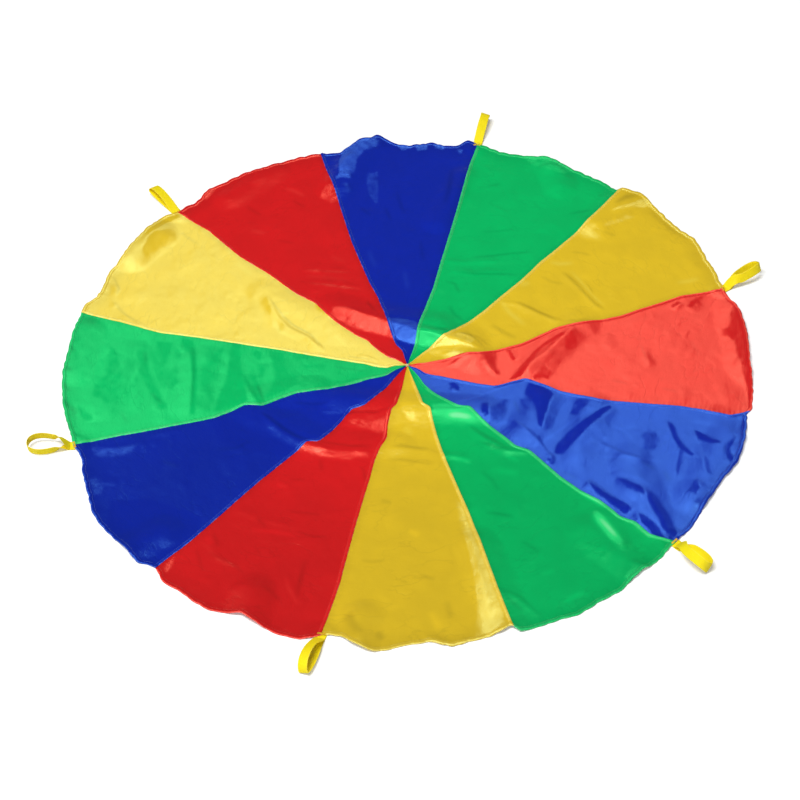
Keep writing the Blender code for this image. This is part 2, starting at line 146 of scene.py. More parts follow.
# Folds read off the photograph: the pixels along the steep side's middle, which is left of the way they run,
# the steep side's and the gentle side's widths, and the height, in millimetres
STROKES = [
    # the ring of raised cloth round the centre, beyond it and nearer
    ([(484, 352), (466, 346), (440, 340), (415, 336), (388, 325), (360, 318), (338, 309),
         (330, 305)], 42, 90, 21),
    ([(484, 409), (455, 413), (430, 413), (418, 412)], 42, 14, 14),
    ([(420, 412), (410, 412), (395, 415), (378, 423), (362, 422), (342, 421)], 58, 14, 12.5),
    ([(372, 453), (350, 454), (330, 453), (314, 449), (298, 444), (278, 433), (260, 414)], 22, 12, 4),
    ([(386, 446), (405, 446), (425, 449), (446, 455)], 9, 26, 1.8),
    ([(396, 459), (415, 459), (434, 463)], 10, 24, 1.4),
    # blue gore on the right
    ([(541, 428), (536, 406), (530, 385)], 24, 50, 2.5), ([(557, 450), (585, 428), (612, 406)], 24, 55, 2.6),
    ([(588, 480), (610, 497), (630, 508)], 20, 34, 4),
    ([(617, 478), (650, 492), (665, 515), (678, 542)], 17, 34, 3.6),
    ([(637, 512), (652, 526), (665, 542)], 15, 26, 3), ([(668, 420), (680, 445), (692, 454)], 17, 30, 2),
    ([(682, 448), (680, 462), (676, 476)], 12, 22, 1.2), ([(695, 432), (722, 443)], 14, 26, 1.8),
    ([(718, 478), (730, 460), (741, 440), (746, 418)], 26, 20, 6), ([(697, 505), (706, 492)], 24, 20, 6),
    ([(481, 412), (486, 404)], 16, 20, 1.4), ([(497, 410), (503, 399)], 16, 20, 1.4),
    ([(583, 408), (588, 397)], 16, 22, 1.4), ([(572, 411), (578, 400)], 14, 22, 1.4),
    ([(449, 390), (457, 382)], 14, 22, 2.5), ([(642, 447), (649, 433)], 16, 20, 3),
    ([(690, 492), (698, 479)], 14, 20, 3), ([(545, 462), (551, 452)], 14, 20, 3),
    ([(697, 443), (704, 458), (709, 475)], 9, 18, 1), ([(515, 420), (540, 440), (556, 462)], 9, 26, 2.2),
    ([(600, 440), (622, 452), (650, 462)], 10, 22, 2.4),
    # red gore on the right
    ([(508, 380), (525, 365), (545, 350), (572, 325)], 14, 34, 3.6),
    ([(566, 344), (570, 336), (575, 330)], 22, 28, 1.2), ([(550, 362), (565, 345)], 10, 22, 0.8),
    ([(530, 378), (545, 368)], 10, 22, 0.8), ([(495, 376), (483, 360)], 11, 18, 2.6),
    ([(514, 361), (507, 350)], 10, 18, 2.4), ([(448, 366), (462, 354), (472, 350)], 10, 18, 2.4),
    ([(749, 402), (747, 370), (742, 335), (733, 303)], 17, 16, 5), ([(720, 338), (724, 329)], 18, 22, 1.2),
    ([(686, 308), (697, 300)], 20, 24, 2), ([(671, 308), (680, 302)], 12, 18, 2.6),
    ([(648, 368), (640, 345)], 10, 24, 1.8),
    # yellow gores
    ([(500, 300), (520, 303), (545, 314), (566, 322)], 10, 26, 3),
    ([(563, 272), (582, 286), (602, 309)], 10, 26, 2.6), ([(650, 202), (630, 209), (612, 212)], 22, 18, 4),
    ([(634, 214), (614, 221), (594, 226)], 17, 18, 3), ([(458, 332), (474, 336), (486, 342)], 10, 22, 3),
    ([(425, 349), (445, 347), (462, 350)], 9, 20, 2.5),
    ([(268, 295), (277, 314), (290, 327), (308, 336), (325, 350)], 9, 34, 3.4),
    ([(150, 254), (158, 244), (171, 233)], 34, 24, 0.5), ([(112, 283), (119, 290), (116, 296)], 8, 18, 1.8),
    ([(113, 300), (128, 316), (148, 327)], 8, 24, 1.6), ([(358, 355), (368, 356), (378, 360)], 6, 14, 1.4),
    ([(275, 318), (272, 306), (276, 330)], 8, 20, 1.2), ([(352, 640), (354, 622), (349, 612)], 26, 30, 3),
    ([(422, 632), (448, 640), (472, 636)], 20, 16, 3),
    ([(487, 618), (479, 590), (471, 560), (462, 532)], 26, 14, 3),
    # green gores
    ([(228, 402), (234, 378), (243, 348)][::-1], 36, 44, 1.5),
    ([(192, 412), (195, 380), (193, 352), (185, 338)][::-1], 9, 30, 1.6),
    ([(277, 354), (284, 372), (286, 388)], 34, 40, 1.2), ([(243, 374), (251, 390), (261, 405)], 9, 24, 2.4),
    ([(332, 383), (365, 378), (398, 371)], 8, 22, 1.8), ([(160, 345), (166, 372), (176, 400)], 20, 40, 0.6),
    ([(118, 352), (112, 380), (116, 410)], 22, 40, 0.6), ([(306, 366), (300, 352)], 12, 26, 1),
    ([(624, 550), (606, 528), (591, 510)], 24, 44, 5), ([(648, 572), (638, 566), (628, 564)], 18, 14, 3),
    ([(499, 588), (520, 597), (542, 616)], 10, 30, 3.5),
    ([(470, 425), (488, 438), (508, 448), (530, 450)], 16, 24, 5),
    ([(472, 463), (455, 458), (440, 457)], 14, 24, 3), ([(562, 172), (550, 169), (538, 171)], 32, 14, 4),
    ([(500, 262), (470, 264), (442, 262)], 12, 26, 3.2), ([(505, 272), (475, 275), (448, 272)], 10, 22, 2.4),
    ([(436, 276), (431, 290)], 12, 20, 2.6), ([(420, 327), (436, 330), (456, 330)], 12, 30, 4),
    # far red and blue gores
    ([(212, 192), (206, 195), (200, 197)], 20, 14, 3), ([(304, 196), (296, 190), (284, 186)], 13, 18, 1.6),
    ([(330, 200), (322, 196), (316, 190)], 12, 16, 1.6), ([(350, 272), (325, 271), (300, 270)], 12, 28, 3),
    ([(360, 289), (330, 285), (302, 282)], 12, 24, 3), ([(358, 154), (350, 160), (343, 171)], 30, 20, 5),
    ([(352, 176), (344, 173), (336, 175)], 9, 12, 2), ([(349, 192), (342, 186)], 16, 20, 1.6),
    ([(379, 178), (372, 190), (366, 206)], 26, 30, 3), ([(378, 214), (373, 222)], 12, 20, 1),
    ([(444, 212), (455, 190), (465, 160)], 22, 30, 3), ([(430, 164), (424, 168)], 12, 16, 1.2),
    ([(446, 170), (438, 176)], 12, 16, 1.2), ([(182, 432), (152, 437)], 10, 20, 1),
    ([(140, 449), (118, 452), (92, 450)], 22, 26, 2), ([(118, 484), (98, 486)], 16, 22, 1),
    ([(182, 550), (170, 562), (162, 574)], 20, 18, 2), ([(354, 461), (342, 459), (318, 455)], 12, 14, 1.6),
    ([(300, 530), (262, 522), (236, 512)], 12, 34, 1.5), ([(298, 606), (290, 590), (284, 572)], 10, 26, 2.2),
    ([(248, 574), (220, 560), (200, 540)], 10, 30, 1.2), ([(305, 415), (290, 419), (274, 424)], 12, 26, 1.2),
]

# Seams read off the photograph, from the centre to the rim, in pixels
SEAM_PATHS = [
    [(413, 350), (416, 336), (418, 325), (425, 308), (433, 288), (440, 264), (448, 238), (456, 212), (463, 187),
         (470, 163)],
    [(420, 355), (435, 342), (447, 333), (457, 328), (470, 321), (485, 310), (500, 297), (520, 281), (540, 262),
         (560, 246), (580, 228), (600, 208), (617, 191)],
    [(424, 363), (440, 360), (460, 354), (480, 352), (500, 349), (520, 344), (540, 335), (555, 328), (570, 324),
         (600, 320), (620, 316), (640, 309), (660, 303), (680, 296), (700, 290), (724, 283)],
    [(424, 373), (440, 376), (460, 380), (480, 384), (495, 386), (510, 382), (525, 378), (540, 383), (560, 391),
         (580, 395), (600, 399), (640, 403), (680, 406), (700, 409), (730, 415), (750, 411)],
    [(424, 384), (440, 396), (458, 405), (470, 406), (480, 416), (500, 433), (515, 445), (530, 450), (545, 463),
         (560, 476), (580, 490), (600, 500), (620, 516), (635, 521), (650, 534)],
    [(418, 390), (423, 403), (430, 406), (433, 420), (437, 435), (443, 452), (455, 480), (470, 514), (485, 552),
         (500, 592), (513, 624)],
    [(404, 380), (401, 392), (397, 404), (392, 408), (388, 424), (387, 438), (380, 448), (375, 460), (370, 478),
         (355, 528), (340, 584), (325, 632)],
    [(390, 384), (375, 397), (365, 405), (352, 409), (345, 417), (330, 433), (320, 441), (308, 441), (290, 457),
         (260, 481), (220, 516), (190, 542), (157, 567)],
    [(388, 375), (370, 379), (345, 386), (320, 390), (298, 393), (278, 400), (262, 406), (245, 405), (215, 418),
         (180, 425), (120, 436)],
    [(388, 368), (365, 364), (345, 361), (320, 357), (280, 350), (240, 344), (200, 338), (160, 333), (120, 322),
         (83, 313)],
    [(390, 358), (375, 348), (368, 341), (357, 336), (340, 325), (325, 313), (315, 303), (298, 295), (270, 275),
         (240, 257), (210, 232)],
    [(403, 352), (396, 345), (390, 330), (384, 312), (378, 298), (370, 284), (361, 264), (352, 243), (345, 222),
         (338, 200), (330, 178), (321, 155)],
]

# The rim read off the photograph, clockwise from handle 1, in pixels
RIM_PATH = [
    (475, 147), (485, 150), (500, 153), (525, 156), (548, 157), (556, 160), (570, 168), (590, 177), (603, 182),
    (617, 191), (621, 188), (630, 190), (646, 196), (655, 207), (668, 220), (680, 230), (695, 239), (702, 250),
    (708, 262), (714, 268), (728, 284), (733, 295), (740, 310), (747, 330), (750, 360), (753, 385), (752, 410),
    (747, 414), (745, 440), (738, 462), (722, 480), (705, 505), (697, 520), (690, 535), (675, 549), (666, 558),
    (645, 568), (632, 580), (620, 592), (600, 602), (577, 616), (560, 620), (540, 627), (520, 632), (513, 625),
    (490, 637), (470, 642), (452, 647), (430, 642), (405, 646), (390, 650), (370, 651), (355, 644), (340, 637),
    (325, 636), (300, 641), (275, 634), (255, 622), (240, 613), (210, 611), (195, 603), (180, 592), (163, 583),
    (156, 569), (148, 565), (137, 563), (125, 548), (110, 535), (98, 523), (92, 512), (88, 495), (83, 475),
    (80, 460), (69, 447), (67, 425), (64, 410), (62, 395), (63, 370), (67, 355), (72, 335), (82, 312),
    (86, 304), (97, 297), (103, 288), (108, 274), (120, 260), (135, 240), (147, 228), (160, 220), (181, 212),
    (197, 203), (209, 189), (222, 184), (237, 177), (246, 173), (270, 166), (290, 160), (320, 154), (340, 153),
    (350, 146), (358, 140), (370, 138), (377, 135), (385, 138), (395, 144), (410, 146), (432, 143), (445, 146),
    (455, 148), (468, 143),
]

# How far some gores' threads run off their middle line, in degrees counter-clockwise
GRAIN = {3: -15, 4: 7, 5: -6, 8: 12, 9: 8, 10: 16}

# Patches where the cloth is pulled on the bias, read off the photograph: the gore, how far its threads there
# lie from the way in which they shine most, in degrees, and the outline in pixels
PULLS = [
    (3, 38, [(570, 331), (574, 330), (577, 339), (575, 348), (570, 351), (566, 346), (565, 338)]),
    (3, 36, [(508, 380), (516, 374), (524, 363), (533, 352), (545, 342), (556, 335), (566, 331), (564, 335),
         (552, 341), (541, 349), (533, 358), (527, 368), (521, 377), (512, 380)]),
    (3, 32, [(536, 381), (531, 376), (538, 372), (543, 366), (548, 370), (553, 373), (549, 379), (542, 377)]),
    (3, 24, [(546, 363), (552, 356), (558, 351), (561, 349), (562, 353), (556, 359), (550, 363)]),
    (3, 34, [(507, 350), (511, 350), (517, 360), (513, 361)]),
    (3, 34, [(489, 362), (493, 362), (500, 374), (495, 374)]),
    (3, 30, [(731, 312), (737, 308), (744, 322), (749, 345), (752, 368), (754, 385), (753, 410), (750, 410),
         (748, 388), (744, 373), (741, 363), (737, 354), (734, 341), (722, 332), (724, 328), (731, 330),
         (730, 320)]),
    (3, 38, [(687, 309), (690, 302), (697, 298), (705, 295), (699, 302), (692, 307)]),
    (3, 32, [(670, 306), (678, 301), (682, 303), (674, 308)]),
    (3, 30, [(722, 337), (727, 328), (732, 322), (731, 333), (727, 336)]),
    (3, 24, [(708, 409), (714, 404), (728, 408), (736, 413), (726, 415)]),
    (4, 42, [(530, 380), (538, 385), (549, 390), (554, 394), (550, 400), (548, 408), (545, 416), (541, 429),
         (538, 424), (537, 412), (535, 404), (531, 398), (525, 394), (526, 387)]),
    (4, 36, [(448, 383), (454, 382), (460, 387), (459, 392), (455, 389)]),
    (4, 38, [(482, 404), (488, 402), (489, 414), (485, 417), (482, 412)]),
    (4, 26, [(519, 399), (523, 399), (528, 408), (525, 411)]),
    (4, 26, [(545, 431), (550, 422), (556, 418), (553, 427)]),
    (4, 26, [(601, 443), (606, 434), (614, 428), (610, 438), (605, 446)]),
    (4, 26, [(640, 437), (648, 428), (652, 431), (645, 440)]),
    (4, 40, [(613, 407), (606, 412), (590, 425), (575, 440), (563, 453), (554, 454), (557, 444), (568, 433),
         (582, 421), (598, 410), (608, 405)]),
    (4, 38, [(667, 421), (674, 425), (679, 439), (688, 449), (698, 457), (689, 455), (679, 448), (672, 436)]),
    (4, 32, [(679, 449), (683, 452), (681, 466), (678, 478), (676, 470), (678, 458)]),
    (4, 38, [(694, 429), (702, 433), (712, 438), (723, 443), (712, 443), (698, 439)]),
    (4, 36, [(736, 436), (733, 444), (730, 450), (734, 458), (732, 465), (728, 460), (725, 450), (724, 446),
         (730, 441)]),
    (4, 40, [(588, 481), (600, 489), (612, 496), (624, 502), (632, 508), (626, 514), (616, 508), (604, 499),
         (594, 491)]),
    (4, 40, [(638, 512), (648, 517), (657, 526), (668, 541), (660, 540), (650, 531), (641, 522)]),
    (4, 40, [(646, 490), (655, 496), (663, 507), (671, 521), (678, 534), (683, 546), (675, 547), (667, 534),
         (658, 518), (649, 504)]),
    (4, 30, [(616, 477), (630, 481), (642, 486), (647, 495), (636, 492), (624, 486)]),
    (4, 30, [(570, 414), (574, 403), (580, 398), (590, 401), (583, 408), (576, 416)]),
    (4, 24, [(641, 447), (647, 435), (655, 430), (660, 440), (655, 451), (646, 451)]),
    (4, 32, [(493, 409), (499, 402), (509, 397), (503, 409)]),
    (4, 28, [(544, 455), (556, 461), (554, 466), (547, 461)]),
    (4, 30, [(689, 491), (696, 481), (701, 487), (696, 495)]),
    (4, 28, [(703, 454), (709, 459), (711, 475), (706, 471)]),
    (4, 8, [(590, 426), (604, 419), (612, 431), (607, 455), (597, 468), (587, 462), (588, 440)]),
    (5, 2, [(591, 511), (598, 510), (607, 520), (616, 530), (625, 543), (621, 546), (612, 541), (603, 531),
         (596, 521)]),
    (5, 1, [(431, 404), (445, 403), (460, 405), (470, 410), (477, 418), (465, 421), (450, 418), (435, 414)]),
    (5, 21, [(440, 455), (455, 456), (470, 461), (469, 464), (454, 460), (440, 459)]),
    (5, 20, [(622, 541), (633, 547), (629, 553), (619, 549)]),
    (5, 8, [(635, 568), (642, 566), (635, 575), (628, 583), (625, 576), (630, 570)]),
    (6, 26, [(454, 498), (464, 502), (484, 552), (502, 600), (508, 624), (494, 640), (474, 642), (476, 604),
         (472, 572), (466, 548), (458, 520)]),
    (6, 13, [(458, 500), (462, 508), (469, 525), (475, 540), (481, 552), (488, 570), (495, 590), (501, 606),
         (504, 616), (498, 628), (487, 637), (481, 636), (482, 610), (481, 585), (478, 562), (472, 545),
         (464, 525)]),
    (6, 27, [(402, 405), (416, 404), (430, 406), (434, 420), (430, 430), (410, 428), (401, 420)]),
    (7, 60, [(384, 398), (398, 396), (396, 410), (388, 416), (386, 440), (378, 458), (366, 470), (330, 464),
         (300, 452), (318, 436), (340, 412), (366, 402)]),
    (7, 25, [(345, 420), (358, 418), (368, 422), (378, 419), (388, 416), (388, 435), (378, 433), (364, 429),
         (352, 425)]),
    (7, 27, [(313, 446), (322, 448), (340, 452), (355, 454), (354, 460), (338, 460), (322, 456), (311, 452)]),
    (7, 21, [(163, 567), (169, 560), (177, 555), (173, 566), (166, 575)]),
    (8, 60, [(208, 418), (236, 404), (262, 402), (285, 398), (318, 393), (350, 396), (362, 404), (345, 417),
         (326, 436), (308, 444), (290, 456), (256, 452), (222, 440)]),
    (8, 60, [(112, 502), (150, 500), (200, 516), (196, 542), (160, 572), (148, 568), (128, 556), (106, 530)]),
    (8, 27, [(320, 411), (330, 409), (344, 410), (340, 415), (326, 415)]),
    (8, 24, [(91, 448), (110, 448), (125, 446), (139, 443), (132, 452), (114, 457), (97, 457)]),
    (8, 27, [(89, 478), (97, 478), (104, 486), (101, 496), (93, 493)]),
    (9, 36, [(232, 343), (241, 344), (240, 360), (243, 376), (248, 400), (240, 405), (226, 409), (214, 412),
         (219, 396), (226, 380), (229, 362)]),
    (9, 34, [(269, 351), (283, 353), (284, 365), (288, 374), (296, 373), (298, 384), (284, 391), (266, 399),
         (270, 388), (276, 374), (272, 362)]),
    (9, 34, [(252, 350), (263, 352), (260, 361), (253, 356)]),
    (9, 30, [(258, 364), (265, 364), (264, 377), (259, 378)]),
    (9, 32, [(222, 346), (225, 349), (213, 364), (201, 379), (200, 375), (210, 361)]),
    (9, 34, [(249, 374), (256, 376), (260, 390), (265, 406), (260, 405), (254, 391)]),
    (9, 38, [(181, 338), (193, 341), (196, 352), (197, 378), (194, 414), (190, 414), (192, 380), (190, 355),
         (183, 346)]),
    (9, 30, [(157, 341), (173, 343), (170, 353), (165, 364), (160, 372), (156, 356)]),
    (9, 28, [(138, 354), (146, 352), (150, 372), (160, 394), (168, 408), (160, 410), (149, 392), (141, 372)]),
    (9, 24, [(108, 344), (118, 352), (122, 372), (120, 398), (108, 404), (92, 396), (96, 372), (100, 360)]),
    (9, 30, [(295, 354), (311, 355), (308, 359), (297, 361)]),
    (9, 27, [(302, 365), (326, 364), (324, 369), (304, 369)]),
    (9, 26, [(174, 346), (180, 352), (180, 362), (175, 358)]),
    (9, 26, [(168, 372), (178, 366), (178, 384), (170, 390)]),
    (9, 28, [(340, 378), (358, 372), (376, 368), (370, 374), (348, 382), (330, 386)]),
    (9, 25, [(76, 404), (86, 410), (96, 420), (82, 422)]),
    (9, 12, [(74, 328), (88, 320), (104, 326), (110, 350), (106, 376), (92, 384), (78, 376), (70, 350)]),
    (9, 22, [(150, 352), (160, 350), (170, 378), (164, 390), (154, 374)]),
    (10, 34, [(146, 239), (151, 231), (163, 230), (171, 229), (175, 235), (166, 243), (155, 251), (144, 258),
         (143, 249)]),
    (10, 50, [(143, 233), (150, 225), (160, 219), (177, 212), (179, 217), (168, 222), (157, 228), (148, 235)]),
    (11, 12, [(202, 198), (211, 189), (216, 191), (207, 200)]),
    (11, 26, [(319, 197), (325, 185), (333, 183), (337, 197), (332, 204)]),
    (11, 19, [(331, 307), (345, 306), (360, 312), (380, 319), (387, 330), (372, 333), (352, 327), (337, 319)]),
    (12, 17, [(384, 318), (400, 317), (418, 321), (420, 337), (404, 339), (388, 334)]),
    (12, 12, [(338, 176), (337, 162), (341, 153), (350, 146), (360, 140), (374, 137), (382, 141), (376, 148),
         (365, 151), (358, 160), (356, 172), (348, 177)]),
    (12, 8, [(334, 176), (342, 173), (351, 175), (352, 180), (342, 178), (335, 181)]),
    (12, 19, [(340, 183), (347, 181), (352, 190), (348, 193)]),
    (12, 25, [(366, 172), (379, 170), (380, 190), (379, 204), (374, 204), (368, 196), (365, 184)]),
    (12, 12, [(394, 144), (408, 144), (413, 148), (402, 152)]),
    (12, 8, [(414, 146), (428, 144), (429, 150), (416, 152)]),
    (12, 10, [(434, 143), (447, 145), (444, 151), (434, 149)]),
    (12, 6, [(456, 147), (464, 149), (462, 156), (457, 153)]),
    (1, 20, [(520, 155), (545, 156), (562, 162), (577, 172), (562, 175), (545, 169), (528, 164)]),
    (1, 24, [(416, 324), (432, 324), (446, 331), (440, 340), (428, 352), (414, 350)]),
    (2, 28, [(424, 352), (436, 342), (448, 334), (462, 332), (476, 338), (472, 346), (454, 351), (436, 356)]),
    (2, 15, [(611, 211), (618, 206), (630, 203), (642, 198), (650, 200), (654, 206), (644, 208), (632, 208),
         (622, 210)]),
    (2, 16, [(600, 226), (606, 221), (618, 217), (626, 213), (634, 215), (642, 211), (634, 219), (620, 224),
         (606, 228)]),
]

